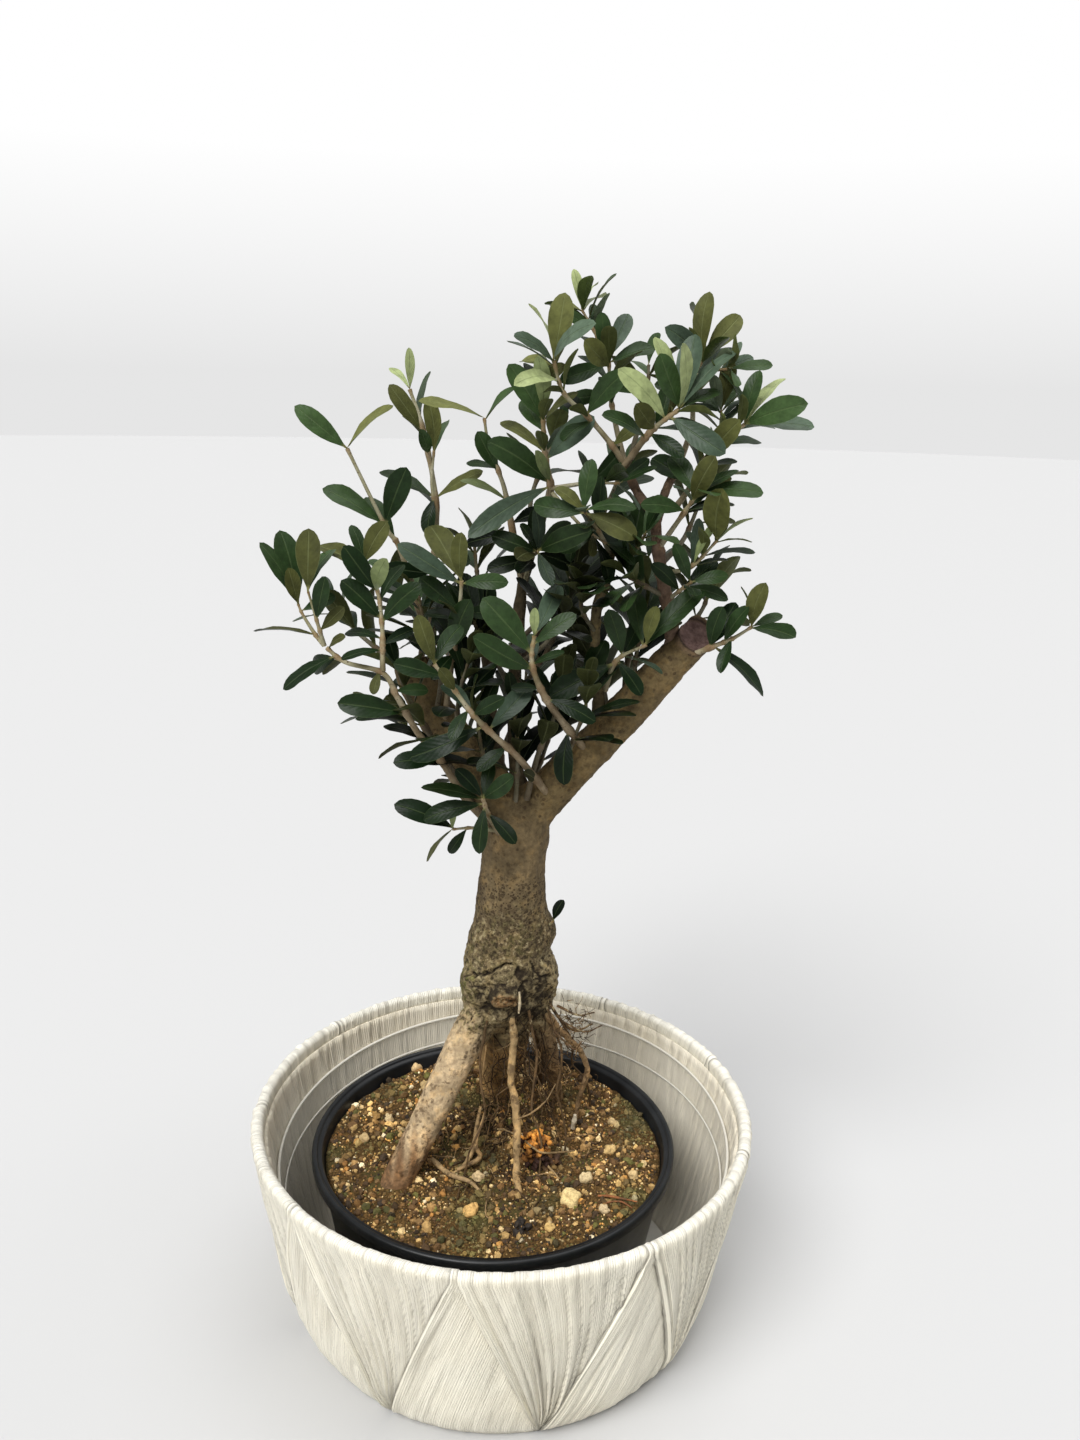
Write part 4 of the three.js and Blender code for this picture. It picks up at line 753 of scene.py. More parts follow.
def add_pot():
    lip_start = POT_RIM_HEIGHT - POT_LIP
    inner_top, inner_foot = POT_TOP_RADIUS - POT_WALL, POT_FOOT_RADIUS - POT_WALL
    roll = []
    for turn in range(0, 181, 22):
        reach, rise = math.cos(math.radians(turn)) - 1, math.sin(math.radians(turn)) - 1
        roll.append((POT_RIM_RADIUS + POT_ROLL * reach, POT_RIM_HEIGHT + POT_ROLL * rise))
    profile = [
        (1, POT_FOOT + 1.2), (POT_FOOT_RADIUS - 8, POT_FOOT + 1.2), (POT_FOOT_RADIUS - 6, POT_FOOT),
        (POT_FOOT_RADIUS - 1.4, POT_FOOT), (POT_FOOT_RADIUS - 0.6, POT_FOOT + 1),
        (POT_TOP_RADIUS - 0.2, lip_start - 1), (POT_TOP_RADIUS + 0.6, lip_start),
        (POT_RIM_RADIUS - 0.8, lip_start), (POT_RIM_RADIUS - 0.1, lip_start + 0.7), *roll,
        (inner_top + 1.2, POT_RIM_HEIGHT - 1.2), (inner_top + 0.2, POT_RIM_HEIGHT - 3),
        (inner_foot + 0.8, POT_FLOOR_TOP + 1), (inner_foot - 0.8, POT_FLOOR_TOP), (1, POT_FLOOR_TOP),
    ]
    work = spun(profile, 160)
    bmesh.ops.translate(work, verts=work.verts, vec=(POT_CENTRE[0] * MM, 0, 0))
    add_piece("black_pot", poured(work, "black_pot"), [pot_material()], "pot", "nursery_pot")


add_pot()


# %% [markdown]
# ## Potting mix
# The mix is grit, crumbs of peat and bark, and a little moss. A picture of soil on a flat disc would look
# flat from the side, so the surface is a crumbly sheet, and some thousands of small stones lie on it.
# Each stone has twenty faces only; its colour comes from a short list, chosen by a seeded draw.

# %% The soil's surface
SOIL_RADIUS = 88.4
SOIL_HEIGHT, SOIL_MOUND, SOIL_MOUND_REACH, SOIL_LUMP = 84.6, 2.6, 51, 0.5
SOIL_CRUMBS = ((0.9, 0.16), (0.55, 0.42), (0.3, 1.1))  # height in mm, and how closely they come
ROOT_HEAP, HEAP_REACH = 1.6, 5  # mm that soil is heaped at a root's foot, and how far round it
WALL_SINK, SINK_FROM, SINK_WIDE = 1.8, 0.93, 0.07  # mm at the pot's wall; shares of the soil's radius
ROOT_FEET = (  # x, y, radius
    (-53, -33, 9), (-5, 51, 13), (9, -40, 4), (29, 44, 6), (-39, 60, 8), (20, 63, 6), (39, 21, 4),
)


def soil_height(x, y):
    """Height of the settled surface, as in the frame."""
    mound = SOIL_MOUND * math.exp(-(x * x + y * y) / SOIL_MOUND_REACH**2)
    lumps = SOIL_LUMP * math.sin(0.11 * x + 0.6) * math.cos(0.13 * y - 0.4)
    return SOIL_HEIGHT + mound + lumps + 0.7 * SOIL_LUMP * math.sin(0.31 * x + 0.17 * y)


def soil_surface(x, y):
    """The same with crumbs, heaped a little round the roots and sunk at the pot's wall."""
    crumbs = sum(high * noise.noise(Vector((x, y, 0)) * fine) for high, fine in SOIL_CRUMBS)
    heap = 0
    for foot_x, foot_y, radius in ROOT_FEET:
        away = (x - foot_x) ** 2 + (y - foot_y) ** 2
        heap += ROOT_HEAP * math.exp(-away / (radius + HEAP_REACH) ** 2)
    edge = math.hypot(x - POT_CENTRE[0], y) / SOIL_RADIUS
    return soil_height(x, y) + crumbs + heap - WALL_SINK * max(0, edge - SINK_FROM) / SINK_WIDE


def soil_material():
    material, tree, shader = new_material("potting_mix", Roughness=0.95, Specular_IOR_Level=0.2)
    place = in_place(tree)
    fine = noise_at(place, 700, 4, 0.7)
    earth = ((0.3, (0.022, 0.012, 0.004)), (0.5, (0.075, 0.042, 0.012)), (0.7, (0.20, 0.11, 0.035)))
    colour = ramp(fine, earth)
    moss = grey(noise_at(place, 48, 4), 0.5, 0.66)
    colour = stained(colour, moss, 0.7, (0.055, 0.052, 0.016))
    finished(shader, colour, fine, 0.8, 0.9)
    return material


def add_soil():
    rings = [SOIL_RADIUS * share for share in np.linspace(0.01, 1, 64)]
    profile = [(radius, SOIL_HEIGHT) for radius in rings]
    work = spun(profile + [(77, POT_FLOOR_TOP + 1.2), (0.9, POT_FLOOR_TOP + 1.2)], 260)
    row = work.verts.layers.float["row"]
    for vert in work.verts:
        vert.co.x += POT_CENTRE[0] * MM
        if vert[row] < len(rings):
            vert.co.z = soil_surface(vert.co.x / MM, vert.co.y / MM) * MM
    add_piece("soil_bed", poured(work, "soil_bed"), [soil_material()], "soil", "potting_soil")


add_soil()

# %% Loose stones
STONE_COLOURS = (  # colour and how often it comes
    ((0.29, 0.17, 0.06), 24), ((0.52, 0.34, 0.13), 18), ((0.17, 0.088, 0.026), 26), ((0.62, 0.46, 0.23), 7),
    ((0.36, 0.17, 0.04), 5), ((0.085, 0.045, 0.015), 26), ((0.035, 0.02, 0.008), 22),
    ((0.11, 0.10, 0.022), 14), ((0.78, 0.66, 0.44), 3), ((0.60, 0.31, 0.08), 2),
)
PEBBLES = (  # x, y, radius, colour
    (-54.6, 74.9, 4.2, (0.70, 0.50, 0.26)), (35.2, -43.3, 5.2, (0.80, 0.62, 0.30)),
    (-13.5, -54.3, 3.9, (0.72, 0.45, 0.16)), (-10.9, -29.8, 3.0, (0.60, 0.45, 0.25)),
    (43.6, -28.6, 3.2, (0.66, 0.52, 0.30)), (57.1, -3.4, 3.0, (0.60, 0.42, 0.18)),
    (-63, 20, 2.8, (0.62, 0.48, 0.27)), (60, 22, 2.6, (0.55, 0.40, 0.2)), (-46, 52, 2.9, (0.5, 0.36, 0.17)),
    (25, -64, 2.8, (0.62, 0.42, 0.16)), (-34, -66, 2.7, (0.48, 0.3, 0.11)), (52, -50, 2.6, (0.64, 0.5, 0.3)),
    (-74, 2, 2.7, (0.5, 0.36, 0.18)), (4, -70, 2.4, (0.42, 0.27, 0.1)), (68, -22, 2.5, (0.6, 0.44, 0.22)),
)
stones = random.Random(88)


def stone_shape(fineness, rough, seed):
    """Places and faces of a lumpy stone of radius 1."""
    work = bmesh.new()
    bmesh.ops.create_icosphere(work, subdivisions=fineness, radius=1)
    for vert in work.verts:
        vert.co *= 1 + rough * noise.noise(vert.co * 1.3 + Vector((seed * 7.7, 0, 0)))
    places = np.array([vert.co for vert in work.verts])
    faces = np.array([[vert.index for vert in face.verts] for face in work.faces])
    work.free()
    return places, faces


def turned_copy(shape, place, sizes, turn):
    """The stone turned at random, stretched, and set down, in metres."""
    spin = np.array(Matrix.Rotation(turn, 3, Vector((stones.gauss(0, 1), stones.gauss(0, 1), 1))))
    return ((shape * np.array(sizes)) @ spin.T + np.array(place)) * MM


def pieces_mesh(name, copies, colours):
    """One mesh of many (places, faces) copies, with the colour of each as the layer "grain"."""
    starts = np.cumsum([0] + [len(places) for places, _ in copies])
    verts = np.concatenate([places for places, _ in copies])
    faces = np.concatenate([faces + start for (_, faces), start in zip(copies, starts)])
    mesh = bpy.data.meshes.new(name)
    mesh.from_pydata(verts.tolist(), [], faces.tolist())
    shades = [np.tile(colour, (len(places), 1)) for (places, _), colour in zip(copies, colours)]
    store_layer(mesh, "grain", np.concatenate(shades))
    return mesh


def stone_material():
    material, tree, shader = new_material("grit", Roughness=0.8)
    fine = noise_at(in_place(tree), 900, 3, 0.6)
    light = ((0.3, (0.6, 0.57, 0.52)), (0.6, (1.1, 1.08, 1.02)))
    finished(shader, shaded(1.0, attribute(tree, "grain"), fine, light), fine, 0.5, 0.6)
    return material


# %% Scattering the stones
STONES, SCATTER = 9800, 0.985  # how many, and the share of the soil's radius that they lie on
MOSSY_STONE = (0.105, 0.092, 0.026)
LUMPS = (  # the orange lump, its rubble and dark crumbs: middle, half sizes, colours of the lit top and the shaded foot, count
    ((17.5, -17.6, 95), (7.8, 6.5, 12), (0.98, 0.42, 0.07), (0.035, 0.010, 0.003), 170),
    ((27, -15, 88), (5, 4, 3), (0.42, 0.2, 0.06), (0.08, 0.04, 0.02), 26),
    ((11.2, -63.6, 86), (3.5, 6, 1.6), (0.035, 0.022, 0.012), (0.02, 0.014, 0.01), 16),
)


def free_of_roots(x, y):
    """Stones may lie up to a millimetre inside a root's foot."""
    return all(math.hypot(x - fx, y - fy) > radius - 1 for fx, fy, radius in ROOT_FEET)


def add_stones():
    shapes = [stone_shape(1, 0.5, seed) for seed in range(6)]
    colours, weights = zip(*STONE_COLOURS)
    copies, shades = [], []
    while len(copies) < STONES:
        reach, angle = SOIL_RADIUS * SCATTER * math.sqrt(stones.random()), stones.uniform(0, math.tau)
        x, y = POT_CENTRE[0] + reach * math.cos(angle), reach * math.sin(angle)
        if not free_of_roots(x, y):
            continue
        size = 0.30 + 0.40 * stones.random() + 1.8 * stones.random() ** 11
        places, faces = stones.choice(shapes)
        sizes = [size * stones.uniform(0.75, 1.25) for _ in range(3)]
        height = soil_surface(x, y) + size * stones.uniform(0.0, 0.5)
        copies.append((turned_copy(places, (x, y, height), sizes, stones.uniform(0, math.tau)), faces))
        light = stones.uniform(0.75, 1.5) * (1.05 + 0.9 * noise.noise(Vector((x * 0.05, y * 0.05, 3))))
        mossy = 0.75 * smooth_step(0.0, 0.35, noise.noise(Vector((x * 0.035, y * 0.035, 8))))
        shade = stones.choices(colours, weights)[0]
        shades.append([light * (c + (m - c) * mossy) for c, m in zip(shade, MOSSY_STONE)])
    mesh = pieces_mesh("grit_stones", copies, shades)
    add_piece("grit_stones", mesh, [stone_material()], "soil", smooth=False)


def clump(middle, size, top, foot, count):
    """A crumbling lump: stones packed in an oval, its colour from the foot's to the top's by height and
    chance: shade painted low on the lump, and some crumbs darker at random.
    """
    shapes = [stone_shape(2, 0.9, seed) for seed in range(11, 15)]
    copies, shades = [], []
    for _ in range(count):
        way = Vector((stones.gauss(0, 1), stones.gauss(0, 1), stones.gauss(0, 1))).normalized()
        deep = stones.uniform(0.45, 1.08)
        place = [c + w * s * deep for c, w, s in zip(middle, way, size)]
        places, faces = stones.choice(shapes)
        radius = stones.uniform(0.6, 2.0)
        sizes = [radius * stones.uniform(0.7, 1.2) for _ in range(3)]
        copies.append((turned_copy(places, place, sizes, 1), faces))
        share = clamped((way.z * deep + 0.75) / 1.5 + stones.uniform(-0.95, 0.15))
        shades.append([f + (t - f) * share for f, t in zip(foot, top)])
    return copies, shades


def add_pebbles():
    shapes = [stone_shape(3, 0.55, seed) for seed in range(20, 24)]
    copies, shades = [], []
    for lump in LUMPS:
        more, tones = clump(*lump)
        copies += more
        shades += tones
    for x, y, radius, colour in PEBBLES:
        places, faces = stones.choice(shapes)
        sizes = [radius * stones.uniform(0.8, 1.1) for _ in range(3)]
        place = (x, y, soil_surface(x, y) + 0.35 * radius)
        copies.append((turned_copy(places, place, sizes, stones.uniform(0, 6)), faces))
        shades.append(colour)
    add_piece("pebbles", pieces_mesh("pebbles", copies, shades), [stone_material()], "soil")


add_stones()
add_pebbles()


# %% [markdown]
# ## The wood
# Stations of the trunk from its root crown to the fork are (height, centre x, radius). Every limb, branch
# and root is a name, then the points of its line, then the radii that are spread over it. Limbs and
# branches are read as x,z,y on the measuring plane; roots are plain x,y,z.

# %% Trunk, limbs, branches and roots
TRUNK = (
    (150, 2, 9), (154, 1.5, 16.5), (160, 1.5, 22), (168, 2, 24), (176, 2, 25), (184, 2, 24.6), (191, 1, 22.6),
    (197, 1, 21.2), (206, 2.4, 20.8), (215, 2, 18.7), (230, 2.2, 17.2), (246, 3, 16.2), (258, 4, 17),
    (268, 5, 15.5), (276, 6, 10),
)
TRUNK_X, TRUNK_Y = 2, 12  # where the trunk's axis stands
CROWN_SLOPE = 0.6  # the root crown's underside stands higher at the front
CROWN_LEVEL, CROWN_FADE = 194, 25  # mm: the slope starts below the first, and is full by the second lower
BURLS = (  # angle in degrees, height, rise, reach
    (0, 207, 2.6, 9), (-100, 166, 2.4, 9), (-40, 181, 2, 9), (-150, 176, 2.2, 9), (-70, 193, 1.4, 7),
    (40, 172, 2.2, 10), (110, 185, 2.4, 11), (170, 160, 1.8, 9), (75, 215, 1.4, 10),
)


def read_lines(text):
    """Named lines from a text: a name, then points with commas, then radii, all parted by blanks."""
    found = {}
    for word in text.split():
        if word[0].isalpha():
            points, radii = found[word] = ([], [])
        elif "," in word:
            points.append([float(part) for part in word.split(",")])
        else:
            radii.append(float(word))
    return found


LIMBS = read_lines("""
right 4,254,12 12,272,12 36.5,300,9 57,324,6 75.5,346.5,4 84,356,3 88,361,2 14 11.6 10 9.7 9.2 9.6 7.4
left 3,252,12 -4,275,13 -17,293,17 -32,313,21 -44,334,24 -49,346,26 14 12.5 11 10.4 9.6 8.4
""")
BRANCHES = read_lines("""
centre 6,264,12 3,300,20 2,340,25 5,385,22 12,410,16 17,429,11 5.4 4.2 3.4 2.8 2.3 1.9
back 2,262,16 -6,295,36 -10,328,52 -12,354,62 -12,372,67 5.4 4 3.2 2.6 2
upright 40,303,9 43,325,8 42,345,6 40,370,4 44,385,3 47,404,2 3.6 3 2.8 2.6 2.4 2
red 78,346,4 76,372,3 72,385,2 69,400,1 66,420,1 4.2 3.6 3.2 2.9 2.6
red_left 66.5,417,1 57,430,2 51,441,3 2.5 2.2 1.9
red_right 66.5,415,1 70,428,6 75,440,12 2.4 2.1 1.8
""")
ROOTS = read_lines("""
left 4,9,168 -14,3,157 -28,-10,133 -41,-23,108 -53,-33,85 -62,-41,64 12 9.8 8.8 8.2 7.8 6
core 2,13,166 0,24,135 -3,39,106 -5,51,84 -6,60,60 15 12.5 10.8 10 8
thin 4,-4,166 5,-9,153 4,-14,137 7,-19,126 8,-26,110 8,-33,99 10,-42,85 13,-51,64 2.3 2.1 1.7 2.0 1.9 1.6
  1.7 1.5
right 13,11,166 20,12,151 25,19,127 27,31,106 29,44,85 31,53,64 7 5.4 4.4 4 3.8 3
outer 18,8,166 27,10,152 36,12,141 43,15,129 44,17,115 40,20,99 38,22,66 2.6 2.0 1.7 1.5 1.4 1.3 1.2
back_left -6,20,164 -20,36,131 -32,50,104 -39,60,84 -43,65,62 9 7 5.6 5 4
back_right 12,22,164 19,38,132 21,52,104 20,63,84 21,70,62 6 4.8 4.2 3.6 3
hair_front -7,-3,171 -12,-11,143 -9,-20,118 -16,-26,99 -20,-31,78 1.7 1.4 1.2 1.1 1
hair_middle 12,-4,171 17,-10,143 15,-16,121 20,-21,102 19,-27,78 1.6 1.4 1.2 1.1 1
hair_right 20,5,170 30,0,142 28,-3,120 33,-6,101 32,-9,78 1.6 1.3 1.2 1.1 1
hair_far 20,15,168 35,20,138 37,30,117 46,33,101 49,36,78 1.7 1.4 1.2 1.1 1
hair_left -15,9,170 -25,8,140 -24,13,119 -30,12,101 -33,15,78 1.6 1.3 1.2 1.1 1
twig_right 20,6,171 34,1,155 45,-2,160 1.6 1.2 1
""")

# %% [markdown]
# A real trunk has no seams where its limbs and roots leave it, and joined tubes would show them. So the
# stout wood is fused into one skin by a voxel remesh, and relaxed most where limbs and roots leave. Bark
# is pressed into that skin along its normals; thin branches and roots stay plain, finely bent tubes.

# %% Fusing the stout wood
VOXEL = 0.92  # mm
STOUT_ROOTS = ("left", "core", "right", "back_left", "back_right")
SAWN_END = ((89.8, 363.2, 2.2), (93, 367.4, 1))  # the long limb's last point, and one straight past it
SAWN_RADII = (8.8, 8.7, 8.0, 7.4)  # the limb swells before the cut


def tube(points, radii, steps=7):
    line = smooth_line(points, steps)
    return line, radii_along(radii, len(line))


def limb_tubes():
    found = {key: ([on(p) for p in points], list(radii)) for key, (points, radii) in LIMBS.items()}
    points, radii = found["right"]
    points[-1:] = [on(p) for p in SAWN_END]
    radii[-3:] = SAWN_RADII
    return [tube(points, radii) for points, radii in found.values()]


def root_tubes(names):
    return [tube([Vector(p) for p in ROOTS[name][0]], ROOTS[name][1]) for name in names]


def trunk_mesh():
    """The trunk as a tube whose lowest rings stand higher at the front."""
    heights, middles, radii = zip(*TRUNK)
    line, thick = tube([Vector((x, TRUNK_Y, z)) for z, x in zip(heights, middles)], radii, 4)
    mesh = tubes_mesh("trunk", [(line, thick)], sides=40)
    for vert in mesh.vertices:
        slope = CROWN_SLOPE * clamped((CROWN_LEVEL - vert.co.z / MM) / CROWN_FADE)
        vert.co.z -= slope * (vert.co.y - TRUNK_Y * MM)
    return mesh


def fused_wood():
    work = bmesh.new()
    work.from_mesh(trunk_mesh())
    work.from_mesh(tubes_mesh("limbs", limb_tubes() + root_tubes(STOUT_ROOTS), sides=28))
    holder = placed("stout_wood", poured(work, "stout_wood"))
    voxels = holder.modifiers.new("voxels", "REMESH")
    voxels.mode = "VOXEL"
    voxels.voxel_size = VOXEL * MM
    return baked(holder)


def listed(items, key, width, kind=float):
    """One array of a measure of all of a mesh's vertices or edges."""
    values = np.empty(len(items) * width, dtype=kind)
    items.foreach_get(key, values)
    return values.reshape(-1, width)


def places_of(mesh):
    return listed(mesh.vertices, "co", 3) / MM


def set_places(mesh, places):
    mesh.vertices.foreach_set("co", (places * MM).ravel())
    mesh.update()


def neighbour_mean(values, edges):
    """Mean over each vertex's neighbours of every column of values."""
    ends = np.concatenate((edges[:, 0], edges[:, 1]))
    others = np.concatenate((edges[:, 1], edges[:, 0]))
    count = np.maximum(1, np.bincount(ends, minlength=len(values)))
    sums = [np.bincount(ends, column[others], minlength=len(values)) for column in values.T]
    return np.column_stack(sums) / count[:, None]


def relaxed(values, edges, share, rounds):
    for _ in range(rounds):
        values = values + share * (neighbour_mean(values, edges) - values)
    return values


def near(places, centre, reach):
    return np.exp(-(((places - np.array(centre)) / reach) ** 2).sum(axis=1))


FORK, CROWN = (4, 12, 272), (0, 8, 152)  # where the limbs and the roots leave
wood_mesh = fused_wood()
wood_edges = listed(wood_mesh.edges, "vertices", 2, int)
wood_places = relaxed(places_of(wood_mesh), wood_edges, 0.5, 5)
joint = np.maximum(near(wood_places, FORK, 16), 0.8 * near(wood_places, CROWN, 22))
set_places(wood_mesh, relaxed(wood_places, wood_edges, 0.6 * joint[:, None], 40))
print("fused wood:", len(wood_places), "vertices")

# %% [markdown]
# Every mark on the bark is kept as three layers: a tint for the wood's colour, and a vector of moss, painted
# shade and saw cut. The painted shade darkens creases, hollows, pits and cavities. Marks on the front are
# given as seen against the measuring plane, so each vertex is first read on that plane.

# %% Reading the skin
TINTS = {
    "trunk": (0.178, 0.130, 0.068), "limb": (0.158, 0.114, 0.052), "left": (0.57, 0.43, 0.265),
    "core": (0.50, 0.325, 0.15), "right": (0.30, 0.20, 0.105), "back": (0.14, 0.095, 0.05),
}
STAINED = (0.24, 0.135, 0.065)  # the foot of the left root, where the soil has dyed it
PALE_CROWN = (0.36, 0.29, 0.16)
SPREAD = 2.5  # mm over which one tint turns into the next


def skin_lines():
    """Points (x, y, z, radius, tint) along every stout line."""
    heights, middles, radii = zip(*TRUNK)
    found = [(x, TRUNK_Y, z, r, "trunk") for z, x, r in zip(heights, middles, radii)]
    kinds = ("limb", "limb", "left", "core", "right", "back", "back")
    for kind, (line, radii) in zip(kinds, limb_tubes() + root_tubes(STOUT_ROOTS)):
        found += [(*point, radius, kind) for point, radius in zip(line[6:], radii[6:])]
    return found


def skin_tint(places):
    names = list(TINTS)
    least = np.full((len(places), len(names)), 1e3)
    for x, y, z, radius, kind in skin_lines():
        gap = np.linalg.norm(places - (x, y, z), axis=1) - radius
        k = names.index(kind)
        least[:, k] = np.minimum(least[:, k], gap)
    weight = np.exp(-(least - least.min(axis=1, keepdims=True)) / SPREAD)
    weight /= weight.sum(axis=1, keepdims=True)
    tint = weight @ np.array([TINTS[name] for name in names])
    trunk, left_root = weight[:, names.index("trunk")], weight[:, names.index("left")]
    stain = left_root * smooth_step(118, 92, places[:, 2] + 6 * np.sin(places[:, 0] * 0.9))
    pale = smooth_step(205, 188, places[:, 2]) * trunk * 0.5
    tint *= 1 - 0.42 * (near_reading(places, (-1, 213), (12, 11)) * trunk)[:, None]
    tint += stain[:, None] * (np.array(STAINED) - tint) + pale[:, None] * (np.array(PALE_CROWN) - tint)
    return tint


def normals_of(mesh):
    return listed(mesh.vertices, "normal", 3)


def read_on_plane(places):
    share = (PLANE_Y - EYE.y) / (places[:, 1] - EYE.y)
    return EYE.x + (places[:, 0] - EYE.x) * share, EYE.z + (places[:, 2] - EYE.z) * share


def near_reading(places, centre, reach):
    """The same as near, on the measuring plane."""
    return near(np.column_stack(read_on_plane(places)), centre, reach)


def from_line(u, w, points):
    """Distance on the plane from a line of points."""
    best = np.full(len(u), 1e3)
    for (x0, z0), (x1, z1) in zip(points, points[1:]):
        run, rise = x1 - x0, z1 - z0
        share = np.clip(((u - x0) * run + (w - z0) * rise) / (run * run + rise * rise), 0, 1)
        best = np.minimum(best, np.hypot(u - x0 - share * run, w - z0 - share * rise))
    return best


# %% Marks on the root crown
CREASES = (  # each a line on the plane, its depth and its width
    (((-18.2, 178.7), (-13, 180.0), (-8.8, 180.2), (-2.2, 183.6), (3.4, 185.2)), 2.0, 0.8),
    (((-15.5, 172.5), (-10.5, 171.0), (-8.0, 166.5)), 1.1, 0.9),
    (((12.5, 186.5), (15.0, 181.5), (21.0, 179.5)), 1.3, 0.9),
)
HOLLOWS = (  # each (u, w, reach u, reach w, depth, painted shade)
    (7.2, 181.0, 2.4, 3.8, 2.6, 0.95), (13.0, 175.4, 5, 4, 1.6, 0.7), (19.5, 168.2, 6, 7, 2.6, 0.8),
    (9.5, 165, 7, 5, 2.4, 0.8), (-4.1, 160.5, 11, 3.4, 2.2, 0.9), (-16.8, 174.4, 3, 2.0, 1.0, 0.5),
    (-12.8, 168.2, 2.0, 3, 1.4, 0.6), (-16.9, 219.2, 1.2, 2.2, 0.8, 0.7), (12.4, 210, 1.6, 1.2, 0.6, 0.5),
    (21.5, 184, 2.0, 1.6, 1.0, 0.5), (-19.5, 186, 1.4, 4, 0.9, 0.5), (9.4, 172.6, 1.6, 3.6, 1.6, 0.9),
    (13, 177, 7.5, 8, 0.6, 0.62), (20, 176, 3, 6, 0.8, 0.7), (12, 158, 12, 5, 1.0, 0.85),
)
STRAY = 2.2  # mm by which creases and hollows wander
KNOT = ((1.0, -12.8, 179.2), (-0.05, -0.93, -0.36), 7.6, 5.8, 2.6)  # centre, way, half sizes, height
KNOT_FACE = (0.31, 0.165, 0.07)
KNOT_DEEP = 9  # mm on both sides of the knot's centre that belong to it


def knot_marks(places, shift, painted_shade, tint, cut):
    """Pulls the bark round the sawn knot up to a flat oval face, with shade painted along its edge."""
    centre, way, wide, tall, height = KNOT
    way = np.array(way) / np.linalg.norm(way)
    reach = places - np.array(centre)
    out = reach @ way
    flat = reach - np.outer(out, way)
    oval = np.sqrt((flat[:, 0] / wide) ** 2 + ((flat**2).sum(axis=1) - flat[:, 0] ** 2) / tall**2)
    close = np.abs(out) < KNOT_DEEP
    share = smooth_step(1.3, 0.9, oval) * close
    goal = height - 0.9 * np.clip(1 - oval**2, 0, 1) + 0.25 * np.sin(oval * 17)
    shift += np.outer(share * (goal - out), way)
    face = (share * (oval < 0.95) * (0.8 + 0.35 * np.sin(oval * 14))).clip(0, 1)
    tint += face[:, None] * (np.array(KNOT_FACE) - tint)
    cut -= smooth_step(1.15, 0.95, oval) * close  # below zero: smooth, but not sawn
    painted_shade[:] = np.maximum(painted_shade * (1 - face), 0.95 * bell(oval, 1.10, 0.15) * close)


def root_crown_marks(places, normals, u, w):
    """How far each vertex moves along its normal, and the shade painted into its creases and hollows."""
    front = smooth_step(-0.1, 0.4, -normals[:, 1]) * (places[:, 2] > 145) * (places[:, 2] < 235)
    depth, painted_shade = np.zeros(len(u)), np.zeros(len(u))
    strays = np.array([noise.noise_vector(Vector(place) * 0.24) for place in places]) * STRAY
    u, w = u + strays[:, 0], w + strays[:, 1]
    for points, deep, wide in CREASES:
        gap = from_line(u, w, points)
        depth += front * deep * (0.35 * bell(gap, 2.2 * wide, wide) - bell(gap, 0, wide))
        painted_shade = np.maximum(painted_shade, 0.75 * front * min(1, deep / 1.8) * bell(gap, 0, wide))
    for x, z, wide, tall, deep, dark in HOLLOWS:
        far = (((u - x) / wide) ** 2 + ((w - z) / tall) ** 2) ** 1.5
        depth -= front * deep * np.exp(-far)
        painted_shade = np.maximum(painted_shade, front * dark * np.exp(-0.8 * far))
    return depth, painted_shade


# %% Bark relief
BURL_RADIUS = 23.0  # mm, the root crown's radius where its burls are measured
CROWN_FOOT, CROWN_TOP, CROWN_REACH = 150, 235, 32  # the part of the trunk that has burls


def burl_rise(place):
    angle = math.degrees(math.atan2(place[1] - TRUNK_Y, place[0] - TRUNK_X))
    total = 0.0
    for at, height, rise, reach in BURLS:
        turn = math.radians((angle - at + 180) % 360 - 180) * BURL_RADIUS
        total += rise * math.exp(-(turn**2 + (place[2] - height) ** 2) / reach**2)
    return total


def bark_rise(place):
    """Height of the bark at a place in mm, and how much shade is painted into its pits there."""
    x, y, z = place
    own = Vector((x, y, z))
    grain = 0.22 * noise.noise(own * 0.42) + 0.12 * noise.noise(own * 0.95)
    low = clamped((212 - z) / 30) * (z > 146) * clamped((30 - math.hypot(x - TRUNK_X, y - TRUNK_Y)) / 5)
    if low == 0:
        cords = noise.noise(Vector((x * 0.2, y * 0.2, z * 0.045))) if z > 206 else 0
        return grain * 1.3 + 0.45 * cords + 0.4 * noise.noise(own * 0.12), 0.0
    crumbs = 0.75 * noise.noise(own * 0.34) + 0.45 * noise.noise(own * 0.75)
    lumps = 1.1 * noise.noise(Vector((x * 0.13, y * 0.13, z * 0.17)))
    ridged = max(0, 0.62 - abs(noise.noise(Vector((x * 0.11, y * 0.11, z * 0.24)))) * 6)
    return grain * 1.5 + low * (crumbs + lumps - 1.1 * ridged), low * (0.55 * ridged + max(0, -crumbs - 0.15))


